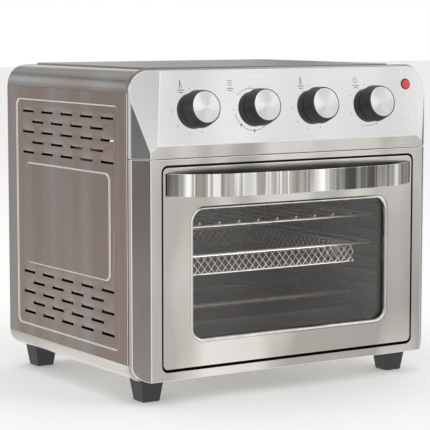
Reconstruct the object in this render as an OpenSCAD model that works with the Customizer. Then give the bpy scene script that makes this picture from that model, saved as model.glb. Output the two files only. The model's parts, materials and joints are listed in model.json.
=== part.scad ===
// Countertop toaster oven with a drop-down glass door, four dials and a top convection fan.
// Millimetres, +Z up, front towards -Y, origin under the middle of the overall box.

/* [Body] */
// Width over the side panels
body_w = 400; // [340:1:480]
// Height of the body above its feet
body_h = 335; // [325:1:402]
// Depth of the case behind the front frame
case_depth = 281; // [235:1:338]
// Height of the feet
foot_h = 26; // [20:1:32]
// Width of a foot where it meets the base
foot_w = 28; // [22:1:32]
// Thickness of the outer sheet steel
sheet = 1; // [0.8:0.1:1.2]
// Radius of the two upper corners of the body
top_r = 24; // [20:1:28]
// Radius of the two lower corners of the body
bottom_r = 18; // [16:1:22]
// Depth of the pressed recess in each side panel
recess_depth = 1.6; // [1:0.1:2]
// Reach of the rear wall spacers
spacer_len = 12; // [8:1:20]

/* [Front] */
// Height of the sloping control panel
panel_h = 94; // [86:1:110]
// Height of the upright lip under the sloping panel
panel_lip = 13.6; // [10:0.1:18]
// Depth of the 45 degree bevel around the front
front_depth = 16; // [14:1:20]
// Depth of the rim between the bevel and the case
rim_depth = 7; // [5:1:10]
// Width of the frame strip at each side of the door, bevel included
strip_side = 29; // [26:1:36]
// Height of the frame strip above the door
strip_top = 7; // [5:1:12]
// Height of the frame strip below the door
strip_bottom = 10; // [8:1:14]

/* [Door] */
// Thickness of the door
door_t = 16; // [15:1:18]
// Gap between door and frame at the sides
gap_side = 2; // [1.6:0.1:3]
// Gap between door and frame above the door
gap_top = 2.5; // [2:0.1:4]
// Gap between door and frame below the door
gap_bottom = 3.2; // [3:0.1:5]
// Door stile width beside the window
stile = 34.5; // [30:0.5:44]
// Door rail height above the window
rail_top = 43.5; // [40:0.5:52]
// Door rail height below the window
rail_bottom = 26.3; // [24:0.1:36]
// Corner radius of the window
window_r = 17; // [12:1:22]
// Thickness of the window glass
glass_t = 4; // [3:0.5:5]
// Height of the handle plate
handle_h = 24.5; // [18:0.5:28]
// Reach of the handle from the door face
handle_reach = 41; // [32:1:42]
// Height of the hinge above the door's lower edge
hinge_up = 10; // [9.5:0.1:12]
// Hinge pin radius
pin_r = 2.5; // [2:0.1:3]

/* [Controls] */
// Distance between dial centres
dial_pitch = 78.7; // [60:0.1:82]
// Sideways shift of the row of dials
dial_shift = -10.5; // [-14:0.5:-4]
// Radius of a dial's grip at its widest
dial_r = 20.8; // [16:0.1:22]
// Height of a dial above the panel
dial_h = 30.6; // [26:0.1:36]
// Radius of a control spindle
spindle_r = 3; // [2.5:0.1:3.5]
// Radius of the indicator lens
lamp_r = 5.4; // [4:0.1:6]

/* [Oven] */
// Clear half width of the oven cavity
cavity_half = 158; // [120:1:158]
// Height of the cavity floor above the feet
floor_up = 40; // [38:1:44]
// Space above the cavity ceiling for the fan motor and controls
loft = 111; // [104:1:126]
// Distance between two shelf ribs
rib_pitch = 16.4; // [13:0.1:18]
// Number of shelf ribs on each wall
rib_count = 7; // [5:1:7]
// Height of the lowest shelf rib above the cavity floor
rib_low = 33.5; // [30:0.5:39]
// Shelf rib that the fry basket hangs on, counted from 0
basket_rib = 3; // [2:1:4]
// Shelf rib that the wire rack rests on, counted from 0
rack_rib = 5; // [4:1:6]
// Radius of a heating element
heater_r = 4; // [3:0.5:4.5]
// Radius of the convection fan
fan_r = 66; // [50:1:70]

/* [Hidden] */
$fn = 48;

STEEL = [0.78, 0.77, 0.75];
SIDE_STEEL = [0.55, 0.52, 0.50];
BLACK = [0.10, 0.10, 0.10];
DARK_STEEL = [0.32, 0.31, 0.30];
ZINC = [0.66, 0.67, 0.68];
eps = 0.01;
touch = 0.3;

half = body_w / 2;
base_z = foot_h;
top_z = foot_h + body_h;
seam_z = top_z - panel_h;
lip_z = seam_z + panel_lip;
case_d = front_depth + rim_depth;
back_d = case_d + case_depth;
cover_t = 1;
face_y = handle_reach - (handle_reach + back_d + cover_t + spacer_len) / 2;
seam_gap = 0.6;
rim_inset = 0.8;
hem_r = 1.7;
hem_d = case_d + 2.2;

// Opening of the front frame and the outline of the door
open_half = half - strip_side;
open_z0 = base_z + strip_bottom;
open_z1 = seam_z - strip_top;
open_r = 8;
door_half = open_half - gap_side;
door_z0 = open_z0 + gap_bottom;
door_z1 = open_z1 - gap_top;
door_r = 6;
win_half = door_half - stile;
win_z0 = door_z0 + rail_bottom;
win_z1 = door_z1 - rail_top;
rim_w = 3.6;
rim_drop = 4.4;
skin_flange = 12;
glass_lap = 5;
glass_d = rim_drop + 0.1;
gasket_t = 2;
hinge_d = 7;
hinge_z = door_z0 + hinge_up;
pin_fit = 0.06;
handle_z = door_z1 - 18.5;
handle_half = door_half - 4;
handle_t = 1.2;
core_t = 9;

// Slope of the control panel
slope_top_z = top_z - 1.8;
tilt = atan(front_depth / (slope_top_z - lip_z));
dial_up = 36.5;
lamp_up = 60;
lamp_x = half - 32;

// Oven cavity, in depth behind the front face and in height
wall_t = 1;
flange_d = hinge_d + norm([door_t - hinge_d, hinge_up]) + 0.8;
flange_t = 1.2;
cav_d0 = flange_d + flange_t;
cav_d1 = back_d - 19;
floor_z = foot_h + floor_up;
ceil_z = top_z - loft;
rib_z0 = floor_z + rib_low;
rib_reach = 5;
rib_r = 2;
heat_low_z = floor_z + 20;
heat_top_z = ceil_z - 24;
heat_front_d = cav_d0 + 82;
heat_rear_d = cav_d1 - 70;
fan_d = (cav_d0 + cav_d1) / 2;
fan_z = ceil_z - 8;
shield_z = ceil_z + 12;
rack_wire = 1.75;
rack_cross = 1.4;
rack_d0 = cav_d0 + 30;
rack_d1 = cav_d1 - 13;
rack_half = cavity_half - 3;
rack_z = rib_z0 + rack_rib * rib_pitch + rib_r + touch + rack_wire;
basket_z = rib_z0 + basket_rib * rib_pitch + rib_r + touch + rack_wire;
basket_half = cavity_half - 32;
basket_h = 22;
basket_r = 6;
tray_half = cavity_half - 17;
tray_d0 = cav_d0 + 27;
tray_d1 = cav_d1 - 8;
stay_r0 = 54;
stay_r1 = 64;
stay_x = (cavity_half + wall_t + door_half - 1.2) / 2 - 0.4;

// Depth behind the front face, as a Y coordinate
function dy(d) = face_y + d;

// Solid between two depths, from an outline drawn in X and Z
module along_y(d0, d1) {
    translate([0, dy(d1), 0]) rotate([90, 0, 0]) linear_extrude(d1 - d0) children();
}

// Solid between two X values, from an outline drawn in depth and Z
module along_x(x0, x1) {
    translate([x0, face_y, 0]) rotate([90, 0, 90]) linear_extrude(x1 - x0) children();
}

module rounded(x0, x1, z0, z1, r) {
    translate([x0 + r, z0]) square([x1 - x0 - 2 * r, z1 - z0]);
    translate([x0, z0 + r]) square([x1 - x0, z1 - z0 - 2 * r]);
    for (x = [x0 + r, x1 - r], z = [z0 + r, z1 - r]) translate([x, z]) circle(r);
}

// Outline of the body, moved inwards by inset
module body_outline(inset = 0) {
    w = half - inset;
    rt = top_r - inset;
    rb = bottom_r - inset;
    mid = (base_z + top_z) / 2;
    translate([-w + rb, base_z + inset]) square([2 * (w - rb), mid - base_z - inset]);
    translate([-w + rt, mid]) square([2 * (w - rt), top_z - inset - mid]);
    translate([-w, base_z + bottom_r]) square([2 * w, top_z - top_r - base_z - bottom_r]);
    for (s = [-1, 1]) {
        translate([s * (w - rb), base_z + bottom_r]) circle(rb);
        translate([s * (w - rt), top_z - top_r]) circle(rt);
    }
}

module band(z0, z1) {
    translate([-body_w, z0]) square([2 * body_w, z1 - z0]);
}

// Wall of the body outline, between two heights and two depths
module body_wall(z0, z1, d0, d1, inset = 0, t = sheet) {
    along_y(d0, d1) intersection() {
        difference() {
            body_outline(inset);
            body_outline(inset + t);
        }
        band(z0, z1);
    }
}

// Everything behind a plane through p whose normal n points outwards
module behind(p, n) {
    size = 4 * body_w;
    len = norm(n);
    translate(p) rotate([0, acos(n[2] / len), atan2(n[1], n[0])]) translate([0, 0, -size / 2])
        cube(size, center = true);
}

module on_both_sides() {
    children();
    mirror([1, 0, 0]) children();
}

// --- Case ---------------------------------------------------------------------------------------

// Rolled hem along the front edge of the case: a round bead that follows the body outline
module hem_upright(z0, z1) {
    on_both_sides() translate([half - sheet / 2, dy(hem_d), z0]) cylinder(r = hem_r, h = z1 - z0);
}

module hem_corner(z, r, turn) {
    on_both_sides() translate([half - r, dy(hem_d), z]) rotate([90, 0, 0]) rotate([0, 0, turn])
        rotate_extrude(angle = 90) translate([r - sheet / 2, 0]) circle(hem_r);
}

module hem_across(z, r) {
    translate([-half + r, dy(hem_d), z]) rotate([0, 90, 0]) cylinder(r = hem_r, h = body_w - 2 * r);
}

// Screws that hold the back cover: [x, z]
screw_in = 8;
back_screws = concat(
    [for (x = [-half + screw_in, half - screw_in],
        z = [base_z + 60, (base_z + top_z) / 2, top_z - 50]) [x, z]],
    [for (x = [-half / 2, half / 2], z = [base_z + screw_in, top_z - screw_in]) [x, z]]);
screw_r = 1.5;
screw_hole = 1.75;

module back_screw_holes() {
    for (s = back_screws) translate([s[0], dy(back_d - 4), s[1]]) rotate([-90, 0, 0])
        cylinder(r = screw_hole, h = 8);
}

return_w = 14;

module rear_return(z0, z1) {
    along_y(back_d - sheet, back_d) intersection() {
        difference() {
            body_outline(sheet);
            rounded(-half + return_w, half - return_w, base_z + return_w, top_z - return_w, 4);
        }
        band(z0, z1);
    }
}

crown_h = 2;
crown_in = 35;
crown_d0 = case_d + 17;
crown_d1 = back_d - 5;

module crown_outline(inset) {
    translate([0, face_y]) rounded(-half + crown_in + inset, half - crown_in - inset, crown_d0 + inset,
        crown_d1 - inset, 6);
}

module top_cover() {
    color(SIDE_STEEL) difference() {
        union() {
            body_wall(top_z - top_r, top_z, case_d, back_d);
            rear_return(top_z - top_r, top_z);
            translate([0, 0, top_z - sheet]) linear_extrude(crown_h + sheet) crown_outline(0);
            hem_corner(top_z - top_r, top_r, 0);
            hem_across(top_z - sheet / 2, top_r);
        }
        translate([0, 0, top_z - sheet - 1]) linear_extrude(crown_h + 1) crown_outline(sheet);
        back_screw_holes();
    }
}

slot_len = 29;
slot_h = 2.4;
slot_pitch = 46.4;
slot_row = 12;
slot_rows = 5;
recess_front = 19;
recess_back = 23;
recess_low = 31;
recess_high = 39;
plateau_in = 20;
plateau_band = 74;
vent_margin = 10;
vent_room = case_depth - recess_front - recess_back - 2 * vent_margin;
slot_cols = floor((vent_room - slot_len) / slot_pitch) + 1;
vent_mid = case_d + recess_front + (case_depth - recess_front - recess_back) / 2;

module slot(x, z) {
    translate([x - slot_len / 2 + slot_h / 2, z - slot_h / 2]) square([slot_len - slot_h, slot_h]);
    for (e = [-1, 1]) translate([x + e * (slot_len - slot_h) / 2, z]) circle(slot_h / 2);
}

// Louvres: each slot is the open lower edge of a shallow scoop that is pressed into the sheet. Each
// second row sits half a pitch over and is one louvre shorter.
scoop_h = 3.8;
scoop_dip = 1.5;
scoop_t = 0.6;

// Every row of louvres of one parity, drawn in X and Z at the foot of the slot
module louvre_rows(parity) {
    lowest = base_z + recess_low + 14;
    upper = top_z - recess_high - 14 - (slot_rows - 1) * slot_row;
    for (z = [lowest, upper], row = [parity:2:slot_rows - 1])
        translate([half - recess_depth, z + row * slot_row - slot_h / 2]) children();
}

// Start of each louvre of one parity, in depth
function louvre_starts(parity) = let(n = slot_cols - parity)
    [for (i = [0:n - 1]) vent_mid + (i - (n - 1) / 2) * slot_pitch - slot_len / 2];

module louvre_openings() {
    for (parity = [0, 1], d = louvre_starts(parity)) along_y(d, d + slot_len) louvre_rows(parity)
        translate([-3, 0]) square([4, slot_h + scoop_h]);
}

module louvre_scoops() {
    low = [-scoop_dip, slot_h];
    high = [0, slot_h + scoop_h];
    back = [scoop_t, 0];
    brim = [0, 0.2];
    for (parity = [0, 1], d = louvre_starts(parity)) {
        along_y(d, d + slot_len) louvre_rows(parity)
            polygon([high, low, low - back, high - back, high - back + brim, high + brim]);
        for (cheek = [d, d + slot_len - scoop_t]) along_y(cheek, cheek + scoop_t) louvre_rows(parity)
            polygon([high, low - back, [0, slot_h]]);
    }
}

module side_panel() {
    pressed_sheet();
    louvre_scoops();
}

module pressed_sheet() {
    z0 = base_z + bottom_r;
    z1 = top_z - top_r;
    rz0 = base_z + recess_low;
    rz1 = top_z - recess_high;
    rd0 = case_d + recess_front;
    rd1 = back_d - recess_back;
    difference() {
        union() {
            along_x(half - sheet, half) translate([case_d, z0]) square([case_depth, z1 - z0]);
            along_x(half - sheet - recess_depth, half - sheet + eps)
                rounded(rd0 - 1, rd1 + 1, rz0 - 1, rz1 + 1, 9);
            intersection() {
                rear_return(z0, z1);
                translate([0, -body_w, 0]) cube([body_w, 2 * body_w, 2 * top_z]);
            }
            intersection() {
                hem_upright(z0, z1);
                translate([0, -body_w, 0]) cube([body_w, 2 * body_w, 2 * top_z]);
            }
        }
        along_x(half - recess_depth, half + 1) difference() {
            rounded(rd0, rd1, rz0, rz1, 8);
            rounded(rd0 + plateau_in, rd1 - plateau_in, rz0 + plateau_band, rz1 - plateau_band, 9);
        }
        along_x(half - sheet - recess_depth - 1, half - sheet) rounded(rd0 + plateau_in + 1,
            rd1 - plateau_in - 1, rz0 + plateau_band + 1, rz1 - plateau_band - 1, 8);
        louvre_openings();
        back_screw_holes();
    }
}

module side_panel_right() {
    color(SIDE_STEEL) side_panel();
}

module side_panel_left() {
    color(SIDE_STEEL) mirror([1, 0, 0]) side_panel();
}

foot_in = 18.5;
foot_front_d = 38.5;
foot_rear_d = back_d - 18;
foot_x = half - foot_in - foot_w / 2;
feet = [[-foot_x, foot_front_d], [foot_x, foot_front_d], [-foot_x, foot_rear_d], [foot_x, foot_rear_d]];
foot_bottom = 0.75;
foot_screw_up = 8;

module base_pan() {
    color(STEEL) difference() {
        union() {
            body_wall(base_z, base_z + bottom_r, case_d, back_d);
            rear_return(base_z, base_z + bottom_r);
            hem_corner(base_z + bottom_r, bottom_r, 270);
            hem_across(base_z + sheet / 2, bottom_r);
        }
        for (f = feet) translate([f[0], dy(f[1]), base_z - 1]) cylinder(r = 2.2, h = 4);
        for (i = [-3:3], d = [fan_d - 40, fan_d + 40]) translate([i * 34, dy(d), base_z - 1]) {
            translate([-10, -2, 0]) cube([20, 4, 4]);
            for (e = [-10, 10]) translate([e, 0, 0]) cylinder(r = 2, h = 4);
        }
        back_screw_holes();
    }
}

gland_x = half - 44;
gland_z = base_z + 34;
gland_r = 8;
gland_bore = 4;
rear_vent_rows = 6;

module back_cover() {
    color(SIDE_STEEL) difference() {
        along_y(back_d, back_d + cover_t) body_outline(1.5);
        for (row = [0:rear_vent_rows - 1], i = [-2:2])
            along_y(back_d - 1, back_d + 3) slot(i * slot_pitch, top_z - 60 - row * slot_row);
        translate([gland_x, dy(back_d - 1), gland_z]) rotate([-90, 0, 0]) cylinder(r = gland_r, h = 4);
        back_screw_holes();
    }
}

module wall_spacers() {
    color(BLACK) for (x = [-half + 70, half - 70]) {
        translate([x, dy(back_d + cover_t + spacer_len), base_z + 120]) rotate([90, 0, 0]) {
            cylinder(r = 9, h = 3);
            translate([0, 0, 3 - eps]) cylinder(r1 = 9, r2 = 13, h = spacer_len - 3 + eps);
        }
    }
}

module cord_gland() {
    color(BLACK) translate([gland_x, dy(back_d), gland_z]) rotate([-90, 0, 0]) difference() {
        union() {
            translate([0, 0, -8]) cylinder(r = gland_r - 0.3, h = 8 + cover_t + eps);
            translate([0, 0, -6]) cylinder(r = gland_r + 1.5, h = 5.7);
            translate([0, 0, cover_t]) cylinder(r = gland_r + 2.5, h = 3);
        }
        translate([0, 0, -9]) cylinder(r = gland_bore, h = 20);
    }
}

// Tapered foot, notched at the top where the hem of the base runs past it
module foot(i) {
    hem_room = hem_r + 0.2;
    color(BLACK) difference() {
        translate([feet[i][0], dy(feet[i][1]), 0]) difference() {
            hull() {
                translate([-foot_w / 2, -foot_w / 2, foot_h - 1]) cube([foot_w, foot_w, 1]);
                translate([-foot_w * foot_bottom / 2, -foot_w * foot_bottom / 2, 0])
                    cube([foot_w * foot_bottom, foot_w * foot_bottom, 1]);
            }
            translate([0, 0, -1]) cylinder(r = 4.5, h = 1 + foot_screw_up);
            cylinder(r = 2.2, h = foot_h + 1);
        }
        translate([-body_w, dy(hem_d - hem_room), base_z + sheet / 2 - hem_room])
            cube([2 * body_w, 2 * hem_room, 2 * hem_room]);
    }
}

// Pan-head screws: six at the sides and four at the top and bottom of the back, and one in each foot
module case_screws() {
    color(ZINC) {
        for (s = back_screws) translate([s[0], dy(back_d + cover_t), s[1]]) rotate([-90, 0, 0]) {
            cylinder(r = 3.2, h = 1.8);
            translate([0, 0, -5]) cylinder(r = screw_r, h = 5 + eps);
        }
        for (f = feet) translate([f[0], dy(f[1]), foot_screw_up - 2.5]) {
            cylinder(r = 4, h = 2.5);
            cylinder(r = 2, h = foot_h + 4 - foot_screw_up);
        }
    }
}

// --- Front --------------------------------------------------------------------------------------

// Solid shape of the bevelled front, moved inwards by o
module front_solid(z0, z1, d1, o) {
    intersection() {
        along_y(o, d1) intersection() {
            body_outline(rim_inset + o);
            band(z0, z1);
        }
        for_both_bevels(o);
    }
}

module for_both_bevels(o) {
    intersection_for(s = [-1, 1])
        behind([s * (half - o * sqrt(2)), dy(front_depth), 0], [s, -1, 0]);
}

// Return of the frame into the door opening, which stops short of the hinge pins
jamb = hinge_d - pin_r - 0.3;

module front_frame() {
    t = sheet;
    z1 = seam_z - seam_gap;
    color(STEEL) difference() {
        front_solid(base_z, z1, case_d, 0);
        difference() {
            front_solid(base_z, z1 - t, case_d + 1, t);
            along_y(-1, jamb) rounded(-open_half - t, open_half + t, open_z0 - t, open_z1 + t, open_r + t);
        }
        along_y(-1, case_d + 1) rounded(-open_half, open_half, open_z0, open_z1, open_r);
    }
}

panel_normal = [0, -cos(tilt), sin(tilt)];
bevel_a = [half, front_depth, seam_z + 65];
bevel_b = [half - 17, 0, seam_z + 8];
bevel_c = [half - 24.7, 0, lip_z];
bevel_n = cross(bevel_b - bevel_a, bevel_c - bevel_a);
bevel_normal = bevel_n / norm(bevel_n) * (bevel_n[1] > 0 ? -1 : 1);

// Solid shape of the control panel, moved inwards by o
module panel_solid(d1, o) {
    intersection() {
        front_solid(seam_z + o, top_z, d1, o);
        behind([0, dy(0), lip_z] - o * panel_normal, panel_normal);
        on_panel_side(1, o);
        on_panel_side(-1, o);
    }
}

module on_panel_side(s, o) {
    n = [s * bevel_normal[0], bevel_normal[1], bevel_normal[2]];
    behind([s * bevel_c[0], dy(bevel_c[1]), bevel_c[2]] - o * n, n);
}

// Places children on the sloping panel face: local Z points out of it, local Y points up it
module on_panel(x, up) {
    translate([x, dy(0), lip_z]) rotate([90 - tilt, 0, 0]) translate([0, up, 0]) children();
}

function dial_x(i) = dial_shift + (i - 1.5) * dial_pitch;

bush_r = 4.8;

module control_panel() {
    color(STEEL) difference() {
        panel_solid(case_d, 0);
        panel_solid(case_d + 1, sheet);
        for (i = [0:3]) on_panel(dial_x(i), dial_up) translate([0, 0, -3]) cylinder(r = bush_r + 0.3, h = 6);
        on_panel(lamp_x, lamp_up) translate([0, 0, -3]) cylinder(r = lamp_r - 0.5, h = 6);
    }
}

bracket_back = 12;

module switch_bracket() {
    color(ZINC) difference() {
        on_panel(dial_shift, dial_up) translate([-2 * dial_pitch, -22, -bracket_back - 1.2]) {
            cube([4 * dial_pitch, 44, 1.2]);
            translate([0, 0, -8]) cube([4 * dial_pitch, 1.2, 9]);
            translate([0, 42.8, -8]) cube([4 * dial_pitch, 1.2, 9]);
        }
        for (i = [0:3]) on_panel(dial_x(i), dial_up) translate([0, 0, -bracket_back - 3])
            cylinder(r = bush_r + 0.3, h = 6);
    }
}

// Body of a rotary control with its threaded bush, open for the spindle
module control(i, w, h, t) {
    on_panel(dial_x(i), dial_up) difference() {
        union() {
            translate([-w / 2, -h / 2, -bracket_back - 1.2 - t]) cube([w, h, t]);
            translate([0, 0, -bracket_back - 1.3]) cylinder(r = bush_r, h = bracket_back + 2.5);
        }
        translate([0, 0, -bracket_back - 10]) cylinder(r = spindle_r + pin_fit, h = bracket_back + 20);
    }
}

module fry_thermostat() {
    color([0.85, 0.82, 0.72]) control(0, 34, 36, 20);
}

module function_switch() {
    color([0.15, 0.15, 0.16]) control(1, 40, 40, 26);
}

module oven_thermostat() {
    color([0.85, 0.82, 0.72]) control(2, 34, 36, 20);
}

module timer() {
    color([0.72, 0.70, 0.66]) control(3, 46, 40, 32);
}

module indicator_lens() {
    color([0.80, 0.12, 0.12]) on_panel(lamp_x, lamp_up) {
        cylinder(r = lamp_r, h = 1);
        translate([0, 0, -4]) cylinder(r = lamp_r - 0.8, h = 4 + eps);
        translate([0, 0, 1 - eps]) cylinder(r1 = lamp_r - 0.4, r2 = lamp_r - 2.4, h = 1.1);
    }
}

module indicator_lamp() {
    color(BLACK) on_panel(lamp_x, lamp_up) translate([0, 0, -5]) difference() {
        union() {
            translate([0, 0, -16]) cylinder(r = lamp_r - 1, h = 16.8);
            cylinder(r = lamp_r + 1.5, h = 2);
        }
        translate([0, 0, 0.8]) cylinder(r = lamp_r - 0.6, h = 5);
    }
}

// --- Dials ----------------------------------------------------------------------------------------

dial_gap = 1;
skirt_top = 13.5;
cap_r = dial_r - 3.9;
cap_t = 1.2;

module dial(i) {
    color(BLACK) on_panel(dial_x(i), dial_up) difference() {
        rotate_extrude() polygon([[0, 6], [bush_r + 1, 6], [bush_r + 1, dial_gap], [dial_r - 1.3, dial_gap],
            [dial_r - 1.3, skirt_top], [dial_r - 2.2, skirt_top + 0.3], [dial_r - 2.2, skirt_top + 1.2],
            [dial_r, skirt_top + 1.6], [dial_r, skirt_top + 3], [dial_r - 2.7, dial_h - 1],
            [dial_r - 3.4, dial_h],
            [cap_r, dial_h], [cap_r, dial_h - cap_t], [0, dial_h - cap_t]]);
        translate([0, 0, dial_gap - 1]) cylinder(r = spindle_r + pin_fit, h = 17);
        translate([0, 0, dial_gap - 1]) difference() {
            cylinder(r = dial_r - 3.2, h = skirt_top - 1);
            translate([0, 0, -1]) cylinder(r = bush_r + 4, h = skirt_top + 2);
        }
    }
}

module dial_cap(i) {
    color(STEEL) on_panel(dial_x(i), dial_up) translate([0, 0, dial_h - cap_t + 0.02])
        cylinder(r = cap_r - 0.05, h = cap_t - 0.1);
}

// Spindle with a flat milled on its outer end
module spindle(i) {
    color(ZINC) on_panel(dial_x(i), dial_up) difference() {
        translate([0, 0, -bracket_back - 8]) cylinder(r = spindle_r, h = bracket_back + 8 + 16.5);
        translate([-5, spindle_r - 1, 7]) cube([10, 5, 12]);
    }
}

// --- Door -----------------------------------------------------------------------------------------

module door_outline(inset, r = door_r) {
    rounded(-door_half + inset, door_half - inset, door_z0 + inset, door_z1 - inset, r);
}

module window_outline(inset) {
    rounded(-win_half + inset, win_half - inset, win_z0 + inset, win_z1 - inset, window_r - inset);
}

module hinge_holes(r) {
    for (s = [-1, 1]) translate([s * door_half - 15, dy(hinge_d), hinge_z]) rotate([0, 90, 0])
        cylinder(r = r, h = 30);
}

module door_skin() {
    color(STEEL) difference() {
        union() {
            along_y(0, skin_flange) difference() {
                door_outline(0);
                door_outline(sheet, door_r - sheet);
            }
            along_y(0, sheet) door_outline(0);
            along_y(0, rim_drop) window_outline(-sheet);
        }
        along_y(-1, rim_drop + 1) window_outline(rim_w);
        along_y(-1, rim_drop - sheet) window_outline(0);
        hinge_holes(pin_r + 0.4);
    }
}

inner_in = 1.3;
boss = 11;

module door_inner_frame() {
    color(DARK_STEEL) difference() {
        union() {
            along_y(sheet, door_t) difference() {
                door_outline(inner_in, door_r - inner_in);
                door_outline(inner_in + sheet, door_r - inner_in - sheet);
            }
            along_y(door_t - sheet, door_t) door_outline(inner_in, door_r - inner_in);
            along_y(glass_d + glass_t + gasket_t, door_t) window_outline(rim_w - 3);
            for (s = [-1, 1]) translate([s * (door_half - inner_in - boss / 2) - boss / 2, dy(sheet),
                hinge_z - boss / 2]) cube([boss, door_t - sheet, boss]);
        }
        along_y(0, door_t + 1) window_outline(rim_w);
        hinge_holes(pin_r + 0.02);
    }
}

module door_glass() {
    color([0.16, 0.15, 0.14, 0.6]) along_y(glass_d, glass_d + glass_t)
        rounded(-win_half - glass_lap, win_half + glass_lap, win_z0 - glass_lap, win_z1 + glass_lap,
            window_r);
}

module glass_gasket() {
    color(BLACK) along_y(glass_d + glass_t, glass_d + glass_t + gasket_t) difference() {
        window_outline(-3.5);
        window_outline(rim_w);
    }
}

// The handle's bow in plan: a flat middle arc that runs smoothly into a tighter arc at each end
mid_x = 0.6 * handle_half;
mid_arc = 900;
mid_turn = asin(mid_x / mid_arc);
mid_end = [mid_x, -handle_reach + mid_arc * (1 - cos(mid_turn))];
bow_end = [handle_half, -2];
inward = [-sin(mid_turn), cos(mid_turn)];
end_arc = pow(norm(bow_end - mid_end), 2) / (2 * (bow_end - mid_end) * inward);
end_centre = mid_end + end_arc * inward;
end_turn = atan2(bow_end[0] - end_centre[0], end_centre[1] - bow_end[1]);
bow_steps = 16;

// Right half of the bow from the middle outwards, moved towards the door by o
function bow_half(o) = concat(
    [for (i = [0:bow_steps]) let(a = mid_turn * i / bow_steps)
        [(mid_arc - o) * sin(a), -handle_reach + mid_arc - (mid_arc - o) * cos(a)]],
    [for (i = [1:bow_steps]) let(a = mid_turn + (end_turn - mid_turn) * i / bow_steps)
        end_centre + (end_arc - o) * [sin(a), -cos(a)]]);

// The whole bow from right to left, and from left to right
function bow_back(o) = let(right = bow_half(o), n = len(right))
    concat([for (i = [n - 1:-1:0]) right[i]], [for (i = [1:n - 1]) [-right[i][0], right[i][1]]]);

function bow_line(o) = [for (p = bow_back(o)) [-p[0], p[1]]];

module handle_plate() {
    color(STEEL) translate([0, dy(0), handle_z - handle_h / 2]) linear_extrude(handle_h)
        polygon(concat(bow_line(0), bow_back(handle_t)));
}

// Everything between the bow, moved towards the door by o, and a line across inside the door
module bow_inside(o, width) {
    line = bow_line(o);
    last = line[len(line) - 1];
    intersection() {
        polygon(concat(line, [[last[0], door_t], [-last[0], door_t]]));
        translate([-width, -2 * handle_reach]) square([2 * width, 2 * handle_reach + door_t]);
    }
}

post = 14;

// Moulded grip behind the plate, with a post at each end and an open gap for the fingers
module handle_core() {
    h = handle_h - 2;
    core_half = handle_half - 1;
    color(BLACK) translate([0, dy(0), handle_z - h / 2]) linear_extrude(h) difference() {
        bow_inside(handle_t, core_half);
        bow_inside(handle_t + core_t, core_half - post);
        translate([-body_w, 0]) square([2 * body_w, 2 * door_t]);
    }
}

pin_out = 17;

module hinge_pins() {
    color(ZINC) on_both_sides() translate([door_half - 12, dy(hinge_d), hinge_z]) rotate([0, 90, 0])
        cylinder(r = pin_r, h = pin_out + 12);
}

// Curved check arms, centred on the hinge pins. Each one slides through a slot in the cavity flange,
// and the hook at its end meets the flange when the door lies open.
stay_low = -15;
hook_low = -18;
hook_out = 6;
tab_d = flange_d - hinge_d - 1;

module door_stays() {
    color(ZINC) on_both_sides() along_x(stay_x - 1, stay_x + 1) translate([hinge_d, hinge_z]) {
        arc_band(stay_r0, stay_r1, hook_low, 80);
        arc_band(stay_r0, stay_r1 + hook_out, hook_low, stay_low);
        translate([door_t - hinge_d, stay_r0 - 6]) square([tab_d - door_t + hinge_d, stay_r1 - stay_r0 + 10]);
    }
}

// Flat ring between two radii and two angles, at most 110 degrees apart
module arc_band(r0, r1, a0, a1) {
    far = 3 * r1;
    mid = (a0 + a1) / 2;
    intersection() {
        difference() {
            circle(r1, $fn = 120);
            circle(r0, $fn = 120);
        }
        polygon([[0, 0], far * [cos(a0), sin(a0)], far * [cos(mid), sin(mid)], far * [cos(a1), sin(a1)]]);
    }
}

bracket_x = open_half + 1.6;
bracket_t = 2;

module hinge_brackets() {
    color(ZINC) on_both_sides() difference() {
        union() {
            translate([bracket_x, dy(2), hinge_z - 8]) cube([bracket_t, flange_d - 2, 20]);
            translate([bracket_x, dy(flange_d - 1.2), hinge_z - 8]) cube([12, 1.2, 20]);
        }
        translate([bracket_x - 1, dy(hinge_d), hinge_z]) rotate([0, 90, 0])
            cylinder(r = pin_r + pin_fit, h = 5);
    }
}

// Tube along a list of points, closed at both ends
module tube(points, r, sides = 8) {
    n = len(points);
    ahead = [for (i = [0:n - 1]) let(v = points[min(i + 1, n - 1)] - points[max(i - 1, 0)]) v / norm(v)];
    across = [for (t = ahead) let(a = abs(t[0]) < 0.9 ? [1, 0, 0] : [0, 1, 0], c = cross(t, a)) c / norm(c)];
    verts = [for (i = [0:n - 1], k = [0:sides - 1]) points[i] + r * (cos(360 * k / sides) * across[i]
        + sin(360 * k / sides) * cross(ahead[i], across[i]))];
    walls = [for (i = [0:n - 2], k = [0:sides - 1]) let(a = i * sides, b = a + sides, m = (k + 1) % sides)
        [a + k, b + k, b + m, a + m]];
    polyhedron(verts, concat([[for (k = [0:sides - 1]) k]], walls,
        [[for (k = [0:sides - 1]) n * sides - 1 - k]]), convexity = 8);
}

spring_r = 4.6;
spring_wire = 0.7;
spring_turns = 4;
spring_pitch = 1.6;

module door_springs() {
    x0 = bracket_x + bracket_t + 1.2;
    x1 = x0 + spring_pitch * spring_turns + 0.3;
    coil = [for (i = [0:10 * spring_turns]) [x0 + i * spring_pitch / 10, dy(hinge_d) + spring_r * cos(36 * i),
        hinge_z + spring_r * sin(36 * i)]];
    leg = [for (up = [5, 14]) [x1, dy(hinge_d + spring_r), hinge_z + up]];
    color(ZINC) on_both_sides() tube(concat(coil, leg), spring_wire, 6);
}

// --- Oven cavity ------------------------------------------------------------------------------------

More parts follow.
